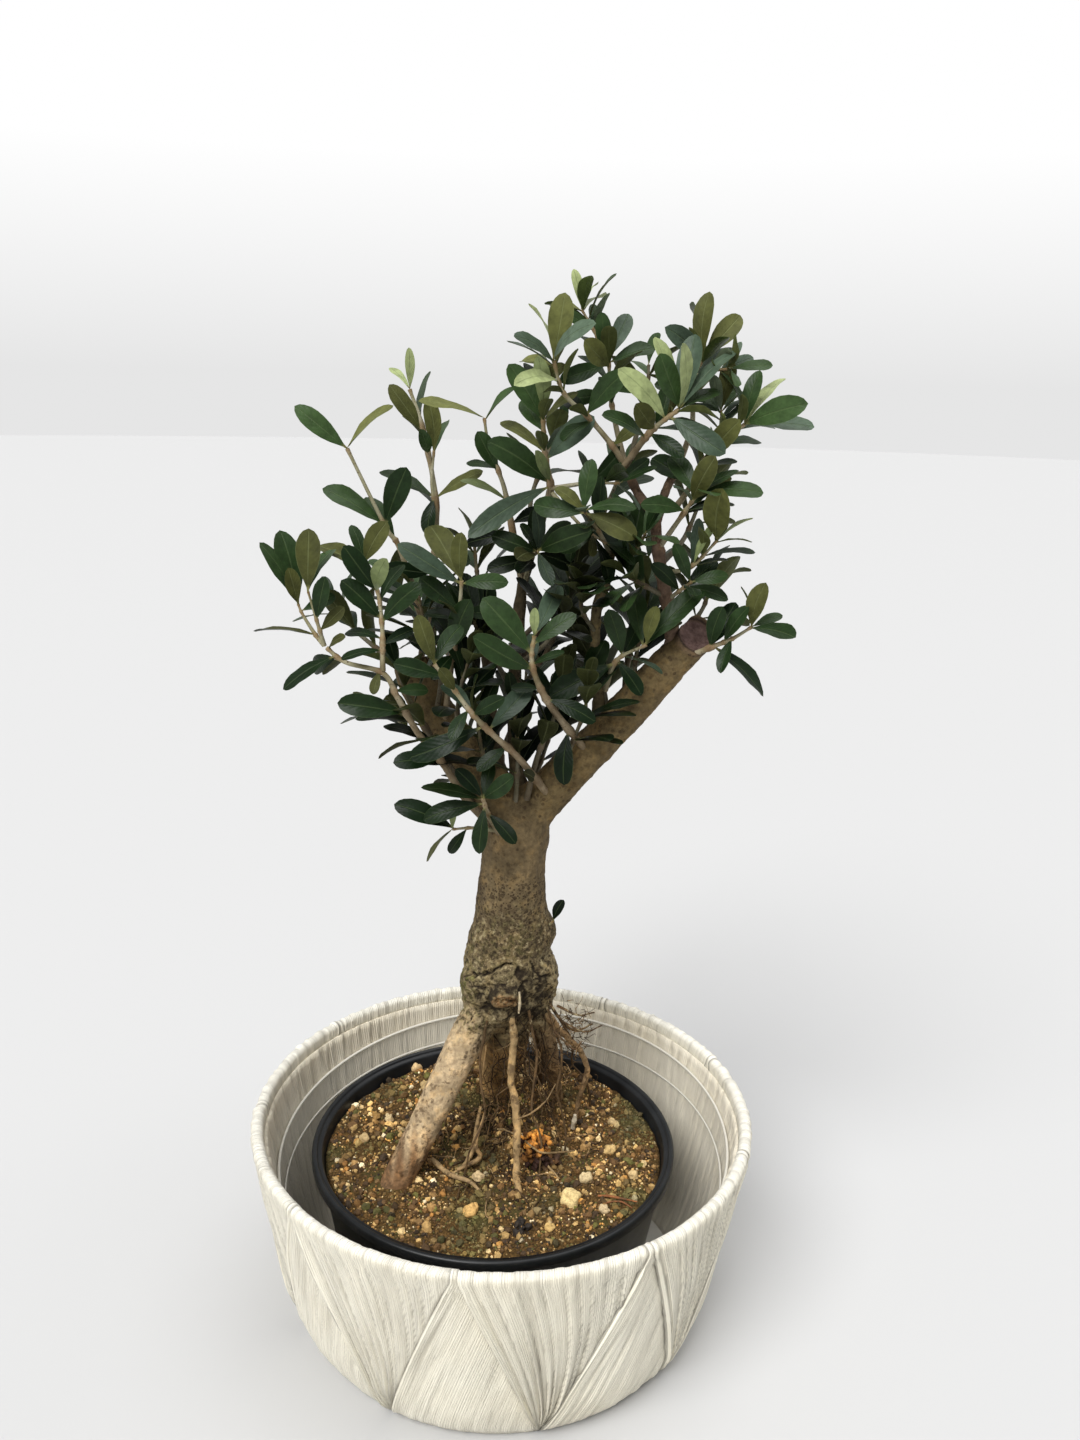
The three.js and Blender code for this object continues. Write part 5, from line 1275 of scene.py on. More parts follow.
def bark_skin():
    """Moves the fused skin to its barked shape and writes its colour layers."""
    places, normals = places_of(wood_mesh), normals_of(wood_mesh)
    tint = skin_tint(places)
    depth, painted_shade = root_crown_marks(places, normals, *read_on_plane(places))
    rises, pit_shade = np.array([bark_rise(place) for place in places]).T
    depth += rises
    painted_shade = np.maximum(painted_shade, 0.8 * pit_shade)
    around = np.hypot(places[:, 0] - TRUNK_X, places[:, 1] - TRUNK_Y)
    crown = (places[:, 2] > CROWN_FOOT) & (places[:, 2] < CROWN_TOP) & (around < CROWN_REACH)
    depth[crown] += [burl_rise(place) for place in places[crown]]
    shift, cut = normals * depth[:, None], np.zeros(len(places))
    knot_marks(places, shift, painted_shade, tint, cut)
    skin, places = places, places + shift
    saw_limb(places, cut, tint)
    saw_left_limb(places, cut)
    moss = moss_on(skin, places)
    set_places(wood_mesh, places)
    # Painted shade where the skin is hollow.
    cavity = ((neighbour_mean(places, wood_edges) - places) * normals_of(wood_mesh)).sum(axis=1)
    painted_shade = np.clip(painted_shade + smooth_step(0.03, 0.22, cavity) * 0.55, 0, 1)
    store_layer(wood_mesh, "tint", tint)
    store_layer(wood_mesh, "marks", np.column_stack((moss, painted_shade, np.clip(cut, -1, 1))))


def moss_on(skin, places):
    """Moss sits in specks over the root crown and thickest low on its left. Its patches are laid out on the
    skin before its relief, and its specks after."""
    _, w = read_on_plane(skin)
    low = smooth_step(232, 200, w) * smooth_step(150, 163, w)
    patches = (((-21, 172), (5, 24), 0.75), ((0, 200), (20, 16), 0.22), ((-14, 152), (8, 9), 0.45))
    thick = sum(share * near_reading(skin, centre, reach) for centre, reach, share in patches)
    flecks = np.array([noise.noise(Vector(place) * 0.33) for place in places])
    return np.clip((thick + 0.1 * low) * (0.75 + 1.5 * flecks), 0, 1)


# %% The sawn ends
SAW_MIDDLE, SAW_NEAR = (88.4, 361.8, 1.8), 22  # the cut's middle as read, and mm round it that belong to it
CALLUS, CALLUS_EDGE = (0.19, 0.125, 0.085), (0.035, 0.018, 0.013)


def saw_limb(places, cut, tint):
    """The long limb was sawn across; its end is a sunk oval with a rim of callus."""
    centre, past = on(SAWN_END[0]), on(SAWN_END[1])
    axis = (past - centre).normalized()
    way = np.array(axis * 0.84 + square(EYE - centre, axis) * 0.54)
    way /= np.linalg.norm(way)
    middle = np.array(on(SAW_MIDDLE))
    out = (places - middle) @ way
    close = np.linalg.norm(places - middle, axis=1) < SAW_NEAR
    beyond = close & (out > 0)
    places[beyond] -= np.outer(out[beyond] * 0.96, way)
    away = places - middle
    away -= np.outer(away @ way, way)
    reach = np.linalg.norm(away, axis=1)
    away /= np.maximum(1e-6, reach)[:, None]
    share = reach / np.percentile(reach[beyond], 92)
    rim = close * bell(share, 1.0, 0.16) * bell(out.clip(-9, 0), -0.4, 1.7)
    places += way * (1.3 * rim - 0.9 * beyond * smooth_step(0.85, 0.5, share))[:, None]
    places += away * (0.9 * rim)[:, None]
    cut[:] = np.maximum(cut, beyond * smooth_step(0.86, 0.76, share))
    ring = (close * bell(share, 0.86, 0.07) * (out > -1.5)).clip(0, 1)
    tint += (0.6 * rim)[:, None].clip(0, 1) * (np.array(CALLUS) - tint)
    tint += ring[:, None] * (np.array(CALLUS_EDGE) - tint)


def saw_left_limb(places, cut):
    end, before = on(LIMBS["left"][0][-1]), on(LIMBS["left"][0][-2])
    out = (places - np.array(end)) @ np.array((end - before).normalized())
    cut[(out > -0.7) & (np.linalg.norm(places - np.array(end), axis=1) < 13)] = 1


# %% [markdown]
# Olive bark is taupe and dull, with small rough dots where it breathes. The shader takes the tint of each
# layer and adds what is too fine for the skin: grain, dots, lichen and the rings of the sawn ends.

# %% Bark finish
MOTTLING = ((0.28, (0.50, 0.48, 0.44)), (0.5, (0.95, 0.95, 0.93)), (0.72, (1.40, 1.36, 1.28)))
GRAIN = ((0.3, (0.55, 0.53, 0.50)), (0.55, (1, 1, 1)), (0.75, (1.25, 1.22, 1.16)))
WARMTH = ((0.36, (0.74, 0.72, 0.72)), (0.5, (1, 1, 1)), (0.64, (1.30, 1.20, 1.04)))
LICHEN = ((0.35, (0.05, 0.045, 0.012)), (0.6, (0.17, 0.16, 0.05)), (0.75, (0.30, 0.29, 0.12)))
SAWN_WOOD = ((0.35, (0.075, 0.042, 0.035)), (0.6, (0.17, 0.105, 0.092)), (0.75, (0.24, 0.16, 0.13)))
PIMPLE, BLOTCH, PIT = (0.040, 0.024, 0.011), (0.10, 0.062, 0.032), (0.022, 0.014, 0.006)
FLAKE, SHADE_TONE = (0.52, 0.43, 0.24), (0.016, 0.010, 0.005)


def between(height_at, fade_in, fade_out):
    """A mask over a band of heights, each fade given as two heights in metres."""
    return times(grey(height_at, *fade_in), grey(height_at, *fade_out))


def bark_spots(place, height_at):
    """The small rough dots where bark breathes, closest over the root crown."""
    pimpled = between(height_at, (0.196, 0.208), (0.250, 0.232))
    patchy = times(grey(noise_at(place, 110, 3), 0.42, 0.62), 0.8)
    wide = times(grey(dots_at(place, 330), 0.36, 0.20), larger(patchy, pimpled))
    return larger(wide, times(grey(dots_at(place, 640), 0.42, 0.24), pimpled))


def bark_material():
    material, tree, shader = new_material("olive_bark", Roughness=0.85, Specular_IOR_Level=0.25)
    place = in_place(tree)
    height_at = parts_of(place)["Z"]
    marks = parts_of(attribute(tree, "marks"))
    fine = noise_at(place, 420, 4, 0.65)
    colour = shaded(1.0, attribute(tree, "tint"), noise_at(place, 70, 5, 0.6), MOTTLING)
    colour = shaded(0.85, colour, fine, GRAIN)
    colour = shaded(0.8, colour, noise_at(place, 150, 4, 0.65), WARMTH)
    spots = bark_spots(place, height_at)
    colour = stained(colour, spots, 0.8, PIMPLE)
    blotches = grey(noise_at(place, 170, 5, 0.7), 0.47, 0.38)
    rooty = grey(height_at, 0.158, 0.145)
    colour = stained(colour, times(blotches, rooty), 0.75, BLOTCH)
    crusty = between(height_at, (0.150, 0.162), (0.232, 0.205))
    crusty = times(crusty, plus(marks["Z"], 1.0))
    crust = noise_at(place, 310, 6, 0.72)
    colour = stained(colour, times(grey(crust, 0.50, 0.39), crusty), 0.85, PIT)
    colour = stained(colour, times(grey(crust, 0.54, 0.62), crusty), 0.6, FLAKE)
    furred = times(marks["X"], grey(noise_at(place, 300, 4), 0.4, 0.6))
    colour = mixed(furred, colour, ramp(fine, LICHEN))
    # Painted shade from the layer marks, made ragged by the crust.
    ragged_shade = times(marks["Y"], grey(crust, 0.74, 0.30))
    colour = stained(colour, grey(plus(ragged_shade, marks["Y"]), 0.1, 1.5), 0.94, SHADE_TONE)
    sawn = ramp(noise_at(place, 260, 5, 0.7), SAWN_WOOD)
    colour = mixed(marks["Z"], colour, sawn)
    height = plus(fine, times(spots, 0.6))
    height = plus(height, times(times(crust, crusty), 1.8))
    finished(shader, colour, plus(height, furred), 0.8, 0.8)
    return material


bark_skin()
bark = bark_material()

# %% Branches and thin roots
BRANCH_TINTS = {
    "centre": (0.10, 0.078, 0.044), "back": (0.085, 0.065, 0.037), "upright": (0.15, 0.12, 0.062),
    "red": (0.19, 0.125, 0.088), "red_left": (0.17, 0.11, 0.075), "red_right": (0.17, 0.115, 0.078),
}
ROOT_TINTS = {"thin": (0.43, 0.29, 0.14), "outer": (0.38, 0.25, 0.13)}
OTHER_ROOT_TINT, OTHER_ROOT_SIZE = (0.12, 0.074, 0.034), 0.5  # the others are hairs, and much thinner
LINE_MARKS = (0.0, 0.05, 0.0)  # no moss, a little painted shade, no saw cut
lines_source = random.Random(12)


def gnarled(points, radii, wander, steps=8):
    """A bent, uneven version of a line, finely divided."""
    line = smooth_line(points, steps)
    thick = radii_along(radii, len(line))
    seed = Vector((lines_source.uniform(0, 90), lines_source.uniform(0, 90), 0))
    for i, point in enumerate(line):
        broad = noise.noise_vector(point * 0.09 + seed) * wander
        fine = noise.noise_vector(point * 0.3 + seed) * wander * 0.4
        line[i] = point + (broad + fine) * min(1, i / 4)
        thick[i] *= 1 + 0.28 * noise.noise(point * 0.35 + seed)
    return line, thick


def add_lines(work, lines, tint, sides):
    mesh = tubes_mesh("lines", lines, sides)
    for name, values in (("tint", tint), ("marks", LINE_MARKS)):
        store_layer(mesh, name, np.tile(values, (len(mesh.vertices), 1)))
    work.from_mesh(mesh)


def add_wood():
    work = bmesh.new()
    work.from_mesh(wood_mesh)
    for key, (points, radii) in BRANCHES.items():
        add_lines(work, [gnarled([on(p) for p in points], radii, 0.5)], BRANCH_TINTS[key], sides=12)
    for key, (points, radii) in ROOTS.items():
        if key not in STOUT_ROOTS:
            size = 1 if key in ROOT_TINTS else OTHER_ROOT_SIZE
            line = gnarled([Vector(p) for p in points], [size * radius for radius in radii], 0.9)
            add_lines(work, [line], ROOT_TINTS.get(key, OTHER_ROOT_TINT), sides=8)
    add_piece("olive_wood", poured(work, "olive_wood"), [bark], "bark", "olive_trunk")


add_wood()


# %% [markdown]
# Between the stout roots hangs a tangle of root hairs, and some of it lies on the soil. Hairs grow down,
# but each wanders as it goes, so a hair is a straight run from the crown to the soil, bent by two scales
# of noise that fade out at its ends.

# %% Root hairs
hairs = random.Random(5)
HAIR_TINTS = (
    (0.055, 0.032, 0.014), (0.10, 0.06, 0.026), (0.16, 0.10, 0.046), (0.30, 0.20, 0.10), (0.035, 0.02, 0.01),
)
HANGING = (((10, 10), (14, 14), 16), ((26, 14), (10, 12), 15), ((-14, 14), (8, 12), 9))  # foot, spread, count
BUSHES = (  # middle, spread, reach, count
    ((33, 8, 143), (6, 5, 10), 9, 90), ((12, 10, 128), (7, 7, 18), 8, 46),
    ((24, 20, 112), (10, 8, 14), 10, 40), ((36, 4, 158), (4, 3, 4), 9, 34),
)
CREEP = 2.6  # mm that a lying rootlet runs before it turns
CROWN_UNDERSIDE, CROWN_WIDE = 161, 22  # mm: its height on the trunk's axis, and its radius


def wandering(start, end, wander, count):
    """A line from start to end that strays by some mm on the way."""
    seed = Vector((hairs.uniform(0, 60), hairs.uniform(0, 60), hairs.uniform(0, 60)))
    line = []
    for i in range(count):
        share = i / (count - 1)
        point = start.lerp(end, share)
        loose = math.sin(math.pi * min(1, share * 1.1)) ** 0.6 if 0 < share < 1 else 0
        broad = noise.noise_vector(point * 0.055 + seed) * wander
        fine = noise.noise_vector(point * 0.22 + seed) * wander * 0.35
        line.append(point + (broad + fine) * loose)
    return line


def crown_point():
    """A place just inside the root crown's underside."""
    angle, reach = hairs.uniform(0, math.tau), CROWN_WIDE * math.sqrt(hairs.uniform(0.1, 1))
    x, y = TRUNK_X + reach * math.cos(angle), TRUNK_Y + reach * math.sin(angle)
    return Vector((x, y, CROWN_UNDERSIDE - CROWN_SLOPE * (y - TRUNK_Y) + hairs.uniform(0, 5)))


def soil_point(centre, spread):
    x, y = hairs.gauss(centre[0], spread[0]), hairs.gauss(centre[1], spread[1])
    return Vector((x, y, soil_surface(x, y) - 0.6))


def with_branches(line, radius, likely):
    """The hair and the finer hairs that leave it."""
    found = [(line, radii_along((radius, radius * 0.45), len(line)))]
    for i in range(2, len(line) - 2):
        if hairs.random() < likely:
            away = Vector((hairs.gauss(0, 1), hairs.gauss(0, 1), hairs.uniform(-1.6, 0.3)))
            end = line[i] + away.normalized() * hairs.uniform(4, 16)
            twig_line = wandering(line[i], end, wander=3.5, count=6)
            found.append((twig_line, radii_along((radius * 0.55, 0.12), 6)))
    return found


def hanging_hairs():
    found = []
    for centre, spread, count in HANGING:
        for _ in range(count):
            start = crown_point()
            end = soil_point(centre, spread)
            start = Vector((start.x * 0.6 + end.x * 0.25, start.y * 0.7 + end.y * 0.15, start.z))
            line = wandering(start, end, wander=11, count=15)
            found.append(with_branches(line, hairs.uniform(0.18, 0.5), likely=0.2))
    return found


def fuzz():
    """The bushy hairs on the right of the crown and round the core root."""
    found = []
    for centre, spread, reach, count in BUSHES:
        for _ in range(count):
            start = Vector([hairs.gauss(c, s) for c, s in zip(centre, spread)])
            way = Vector((hairs.gauss(0.25, 1), hairs.gauss(-0.3, 1), hairs.gauss(0.1, 0.9))).normalized()
            line = wandering(start, start + way * hairs.uniform(0.4, 1) * reach, wander=4, count=6)
            found.append([(line, radii_along((hairs.uniform(0.16, 0.32), 0.1), 6))])
    return found


def lying_roots():
    """Rootlets that creep over the soil."""
    found = []
    for centre, spread in [((2, -14), (24, 20))] * 60 + [((-13, 20), (11, 7))] * 60:
        x, y = hairs.gauss(centre[0], spread[0]), hairs.gauss(centre[1], spread[1])
        angle = hairs.gauss(-1.6, 1.0)
        line, lift = [], hairs.uniform(0.2, 1.6)
        for i in range(9):
            arch = lift * math.sin(math.pi * i / 8) * hairs.uniform(0.6, 2.2)
            line.append(Vector((x, y, soil_surface(x, y) + arch)))
            angle += hairs.gauss(0, 0.45)
            x, y = x + CREEP * math.cos(angle), y + CREEP * math.sin(angle)
        found.append([(smooth_line(line, 2), radii_along((hairs.uniform(0.25, 0.6), 0.15), 17))])
    return found


# %% Named rootlets
NAMED = read_lines("""
foot_runner -36,-17,88 -25.6,-30.3,89 -15.1,-35.5,88.5 -7.7,-42.9,86.5 1.5 1.3 1.1 .7
hanging_left -9,-8,150 -11,-12,128 -9,-10,112 -13,-18,99 -11,-20,92 -22.4,-25.4,88 .4 .45 .6 1.0 1.4 1.0
bowed_left -11.9,-1.7,110 -14,-9,98 -16.4,-15.4,90 -22.4,-25.4,87 -31,-28,86.5 .8 1.2 1.5 1.3 .8
peeled 7.6,-13.5,184 8.0,-15.5,179 7.4,-15.2,173 .5 .8 .6
red_runner 49.3,-40.9,86.5 58,-43,87.5 68.5,-44.7,86 .5 .7 .4
red_runner_low 50,-47,86 59,-45.5,87.6 66,-49,86 .35 .5 .3
arched 30,-28,86 24,-21,89 14,-14,96 4,-10,101 -2,-12,104 .5 .6 .6 .5 .4
stub 37.7,12.9,88 38.2,12.4,93 38.6,12,97 1.3 1.5 1.0
bowed_right 8,-24,118 16,-22,121 23,-14,124 27,-6,127 .4 .45 .4 .3
low_right 12,-22,104 20,-24,99 30,-20,96 38,-12,92 .6 .6 .5 .4
twig_high 27,2,168 38,-3,166 46,-7,170 .7 .5 .3
twig_middle 30,0,160 41,-6,158 50,-8,163 .6 .45 .3
twig_low 26,-3,156 36,-10,150 40,-12,156 .6 .4 .3
""")
NAMED_TINTS = {
    "foot_runner": (0.42, 0.29, 0.15), "hanging_left": (0.38, 0.25, 0.12),
    "bowed_left": (0.4, 0.27, 0.13), "peeled": (0.55, 0.46, 0.32), "red_runner": (0.33, 0.13, 0.05),
    "red_runner_low": (0.3, 0.12, 0.05), "arched": (0.34, 0.24, 0.12), "stub": (0.62, 0.55, 0.42),
    "bowed_right": (0.3, 0.2, 0.1), "low_right": (0.34, 0.23, 0.11), "twig_high": (0.12, 0.07, 0.035),
    "twig_middle": (0.12, 0.07, 0.035), "twig_low": (0.12, 0.07, 0.035),
}


def add_hairs():
    work = bmesh.new()
    for name, (points, radii) in NAMED.items():
        add_lines(work, [gnarled([Vector(p) for p in points], radii, 0.6, 5)], NAMED_TINTS[name], sides=6)
    bundles = {tint: [] for tint in HAIR_TINTS}
    for bundle in hanging_hairs() + fuzz() + lying_roots():
        bundles[hairs.choice(HAIR_TINTS)] += bundle
    for tint, lines in bundles.items():
        add_lines(work, lines, tint, sides=4)
    add_piece("root_hairs", poured(work, "root_hairs"), [bark], "bark")


add_hairs()


# %% [markdown]
# ## Leafy shoots
# Each shoot is one or more sprigs. A sprig is its radius at the foot, its stem's points, and its leaves. A
# stem point is read as x,z,y on the measuring plane. A leaf is its station on the stem, its tip's x and
# z, how far the tip lies behind its foot, and its look: b broad, n narrow or t thin to the eye, and then
# d dark, o with its olive underside showing, p pale and young, or u bluish, a painted reflection of the sky;
# most are bd, and say nothing. In place of the leaves, 5x asks for five opposite pairs by rule.

# %% The shoots
SHOOTS = {}
SHOOT_LIST = """
left_high
  1.8 -44,340,24 -43,366,24 -53,400,20 -60,411,18 -77,446,12 4,-100,465,-6 3.96,-57,467,2,to
  3,-88,429,-4,nd 3.05,-50,438,-6 2.3,-69,424,10,nd 1.2,-28,378,12 1.3,-62,384,12
left_upright
  1.8 -39,332,26 -38,380,26 -36,420,22 -42,455,16 -48,473,14 2.1,-62,437,4,nd 2.0,-50,431,8,td
  2.1,-14,437,0,no 2.62,-43,455,-8 3,-57,475,-4,bo 2.9,-51,462,4,no 3.1,-39,481,2,td 4,-57,482,2,np
  4,-48,491,-5,bp 1.2,-60,392,14 1.4,-20,396,14
  1.2 -36,419,22 -38,432,19 -37,446,17 2,-40,469,-4,bo 1.9,-31,460,6,nd .4,-40,407,-6
mid_left_high
  1.4 4,387,20 -3,424,14 -7,437,11 -12,450,8 -14,461,6 4,-44,468,-10,to 3.9,0,475,0,td 2.0,-17,455,-6
  2.1,-22,441,-4,nd 1,-24,434,-6,np .7,14,420,12 .6,-22,404,4
centre_top
  1.7 16,425,12 17,432,9 14,446,7 13,460,5 12,475,4 1,-12,451,-10 1.1,10,447,-16,bp .9,-21,407,-24,bu
  3,-3,485,-6 3.2,10,489,-12,bp 4,22,486,-4,bo 1.8,36,463,-8,bu 2,-6,461,8,no 2.7,3,470,10
  1.2 17,430,9 35,433,3 49,433,-2 2,66,441,2,nd 1,30,448,6,nd 1.1,42,417,-2,nd
  1.1 18,428,9 32,413,0 44,405,-8 2,58,396,-4,nd 1,27,396,-6,nd
centre_upper
  1.6 52,440,5 45,450,3 34,462,1 22,473,-1 17,487,-3 4,21,516,-4,bo 4,7,512,0,tp 3.9,-1,497,-8,nu
  3.8,2,488,-10,no 3.3,1,478,-10,np 4,33,504,-2,nu 2.1,49,483,-10 1.9,22,452,-6,nd 1,58,461,-8,bo
top_cluster
  1.5 51,442,5 46,460,9 43,474,12 42,488,12 3,38,508,-6 3,50,508,2,bu 2.9,20,478,-8 2.8,31,496,-8,bo
  2.9,62,494,4,nd 2,61,478,8 1.9,25,470,12
  1 42,487,12 35,500,13 29,509,13 2,25,526,0,bp 2,35,521,5,np 1.9,39,515,10,tp 1.1,22,508,-5 .8,34,512,-8
right_upper
  1.8 51,441,2 60,454,-4 67,461,-8 75,467,-10 2.2,47,484,-10,bp 3,65,491,-3 3,98,495,4,nu 3,93,476,-6,nd
  2.6,62,498,8,np 3,80,500,-8,bu 2.9,74,496,-12,np 2.5,97,448,-14,bu 1.5,55,469,-12,bo 1,42,465,-12,nd
  1.2,78,446,-10
right_tall
  1.6 75,439,14 81,460,17 80,478,15 84,489,14 3,85,518,0,bo 3,100,509,-4,bo 2.9,79,513,6,to
  2.9,68,502,4,bu 1.8,63,478,6 1.5,100,476,12
  .95 80,481,15 88,484,9 96,485,4 2,116,487,-4,nd 1.8,101,497,8,bu
right_far
  1.6 75,422,4 81,431,2 90,448,-2 105,461,-6 3,110,485,0 3,121,483,4,np 2.95,132,471,-2 3,137,460,-10,nu
  1.8,103,463,-16,bo 1.2,63,446,12
  .95 90,447,-2 94,458,4 94,467,7 2,97,489,-4,bo 1.8,83,476,-4,nd
right_mid
  1.4 69,404,0 80,421,-10 86,430,-16 2,116,431,-2,nd 1.4,92,446,-14,bo .9,98,425,2,nd 1.8,72,446,-8
  1,60,424,-10
  1.2 70,392,1 84,395,-6 96,408,-10 2,97,432,-4,bo 1.1,94,416,-8,np 1.9,111,420,0,tp 1.4,84,412,6
centre_olive
  1.3 46,400,2 40,411,-9 33,420,-17 1.9,58,409,-8,bo 2,57,423,8,nd 2,36,444,2 1.9,9,423,4 1,55,424,4
  1.1,22,401,-2
centre_mid
  1.3 5,383,22 9,397,6 12,401,-4 2,36,411,-6 1.9,-10,408,-4 1.5,30,394,4 1.1,-12,392,-6 1.9,19,384,-14,bu
left_low_twig
  2.1 -8,262,2 -22,277,-6 -33,295,-9 -45,310,-12 -55,328,-14 -62,340,-15 -80,345,-14 -89,352,-13
  6.4,-111,331,-4,nd 5.1,-67,329,-8,bo 6.9,-80,358,-8,no 3.6,-84,325,-8 2.1,-57,295,-10 6.3,-97,341,8
  4.2,-40,332,6
left_tip
  1.2 -90,353,-13 -94,358,-12 -100,368,-11 -102,373,-11 1,-124,360,-6,to 3,-106,390,-6,bo 3,-109,408,3
  2.9,-119,402,9,nd 2.2,-84,378,8
  1.1 -90,353,-13 -93,364,-17 -97,379,-20 2,-96,409,2,bo 1.1,-89,386,-6 .7,-80,372,-6,bo 2,-85,401,12,nd
left_upright_low
  1.4 -62,341,-15 -62,350,-14 -62,363,-12 -64,380,-10 -70,393,-8 2.2,-81,385,-2 2.1,-44,384,-6
  3.6,-92,403,3,no 3,-79,401,-8 3,-59,396,-10,bp 2.7,-51,393,6,nd 4,-76,411,6 4,-59,413,-4,bo
  1.1,-82,347,-10,nd 1.6,-80,360,8,nd 1.3,-47,362,8
left_twig_second
  1.9 -14,268,8 -28,291,5 -40,311,3 -50,329,2 -55,344,2 5x
low_front
  1.7 -4,258,0 -10,268,-9 -13,277,-16 2,-27,292,-4 2,-9,296,4 2,3,289,-8 1.5,-15,247,-8 1.1,4,253,-8
  1.7,-43,265,-4 1.9,-44,281,6,nd
  1.2 -6,260,0 -18,261,-8 -28,260,-12 1.9,-57,273,-2 1.95,-28,273,-6,bp 2,-41,242,-6,to 1.2,-30,247,2
front_left
  1.9 20,279,4 5,298,-14 -8,310,-22 -18,320,-27 -27,332,-29 -37,345,-30 3.2,-29,307,-12 3,-4,329,-12
  4,-35,343,-10,bo 5,-45,369,-4,bo 4.6,-57,345,-6 2.4,-50,297,-6 2.2,10,336,6,bu .5,8,291,-12,bo
  5,-24,365,8 1.4,-16,291,-8
front_centre
  1.9 37,304,2 20,325,-17 12,340,-23 10,350,-25 11,360,-26 4,11,374,-5,bp 3.1,-14,378,-8 2.3,-19,359,-12
  3.6,31,371,-4 2.6,26,352,-6,nd .4,27,285,-10 1.2,42,318,-6 4,22,385,8,bu 1.6,0,334,4
front_high
  1.7 -32,318,14 -28,350,2 -25,372,-8 -24,386,-12 3,-24,409,-5,bo 2.9,-54,403,-8,bu 2.9,-2,386,-6
  2,-44,387,2 1.9,-5,370,6 3,-39,413,6,bo 1,-38,338,-12 1.1,-20,377,-14
right_end
  1.5 86,352,-4 97,357,-6 106,361,-7 115,367,-8 1,126,330,-4,nd .8,108,381,8 1.5,114,379,-8 3,109,389,2,td
  3,120,390,-4,bo 2.95,131,374,4 2.9,139,362,-8,nd .9,101,379,6 2,101,342,8
right_over_limb
  1.3 73,378,3 80,384,-4 85,388,-8 2,102,392,-2 1.3,103,380,-4 1.9,76,406,-4 .9,66,396,-8
over_right_limb
  1.4 46,334,2 51,349,-6 65,357,-12 2,69,376,-3,bo 2,81,370,-6,no 1.9,91,387,6 1,64,332,-6 .9,19,330,-14
  1.2,46,374,-4 1.9,58,384,6
heart_low
  1.6 9,277,2 14,300,-6 21,318,-4 26,338,-2 4x
heart_left
  1.5 -36,320,12 -34,340,8 -40,358,6 -44,374,6 5x
heart_inner
  1.5 2,330,23 -6,345,10 -14,358,2 -18,366,-2 4x
heart_right
  1.5 3,345,24 18,358,10 26,374,3 30,388,2 4x
heart_upright
  1.3 41,362,5 34,372,-4 32,384,-10 3x
heart_fork
  1.4 45,392,2 56,400,-4 62,410,-10 3x
heart_red
  1.4 74,380,2 62,386,-2 54,390,-6 3x
heart_limb
  1.4 64,328,4 60,345,8 62,362,8 64,374,8 4x
back_top
  1.6 -12,368,66 -16,385,72 -18,402,76 3x
back_left
  1.8 -10,330,53 -30,350,66 -46,368,74 -56,384,78 3x
back_right
  1.8 -11,345,59 8,362,72 20,378,80 28,392,86 3x
back_limb_left
  1.7 -44,332,30 -60,348,42 -74,360,50 -84,372,54 3x
back_limb_low
  1.5 -22,300,24 -36,305,38 -50,312,46 -60,322,50 3x
back_limb_right
  1.6 80,350,8 86,366,22 92,378,34 94,392,42 3x
back_over_limb
  1.8 56,322,12 56,345,32 60,372,48 64,398,58 4x
back_centre
  1.8 2,342,27 18,372,40 34,398,50 44,424,56 50,440,58 4x
back_low
  1.6 0,258,22 -12,280,42 -22,298,56 4x
back_low_right
  1.6 36,296,14 40,310,32 44,328,48 46,342,56 4x
back_deep
  1.6 -6,296,38 0,312,60 6,330,74 8,346,80 4x
back_crown
  1.5 52,438,5 56,456,24 60,474,34 60,486,38 2x
back_red
  1.5 70,396,3 80,408,24 86,424,36 90,440,44 3x
back_high_left
  1.4 10,404,19 8,424,34 14,442,42 20,456,46 2x
deep_left
  1.5 0,318,22 -12,336,32 -24,352,38 -30,364,40 5x
deep_right
  1.5 48,313,8 46,332,24 40,348,32 36,360,36 5x
deep_middle
  1.5 3,330,23 12,344,34 20,358,40 24,370,42 5x
low_right_limb
  1.4 27,288,11 30,304,-2 36,322,-8 38,336,-10 4x
low_left_limb
  1.4 -24,302,19 -26,318,6 -24,334,-2 -20,348,-6 4x
fork_left
  1.4 -4,272,10 -10,288,2 -14,304,-2 -16,318,-4 4x
fork_middle
  1.4 3,268,8 4,286,0 4,304,-3 2,322,-4 4x
fork_deep
  1.5 6,270,20 14,292,32 20,312,40 24,330,44 4x
trunk_sprout
  .9 17,207,8 22,209,6 24,211,5 2,29,223,-2
"""
for word in SHOOT_LIST.split():
    parts = word.split(",")
    if len(parts) == 3:  # a point of the stem
        sprig[1].append([float(part) for part in parts])
    elif len(parts) > 3:  # a leaf
        sprig[2].append([*map(float, parts[:4]), *(parts[4:] or ["bd"])])
    elif word[0].isalpha():  # a new shoot
        shoot_sprigs = SHOOTS[word] = []
    elif word.endswith("x"):  # pairs by rule
        sprig[2] = int(word[:-1])
    else:  # a new sprig
        sprig = [float(word), [], []]
        shoot_sprigs.append(sprig)
print("shoots:", len(SHOOTS))

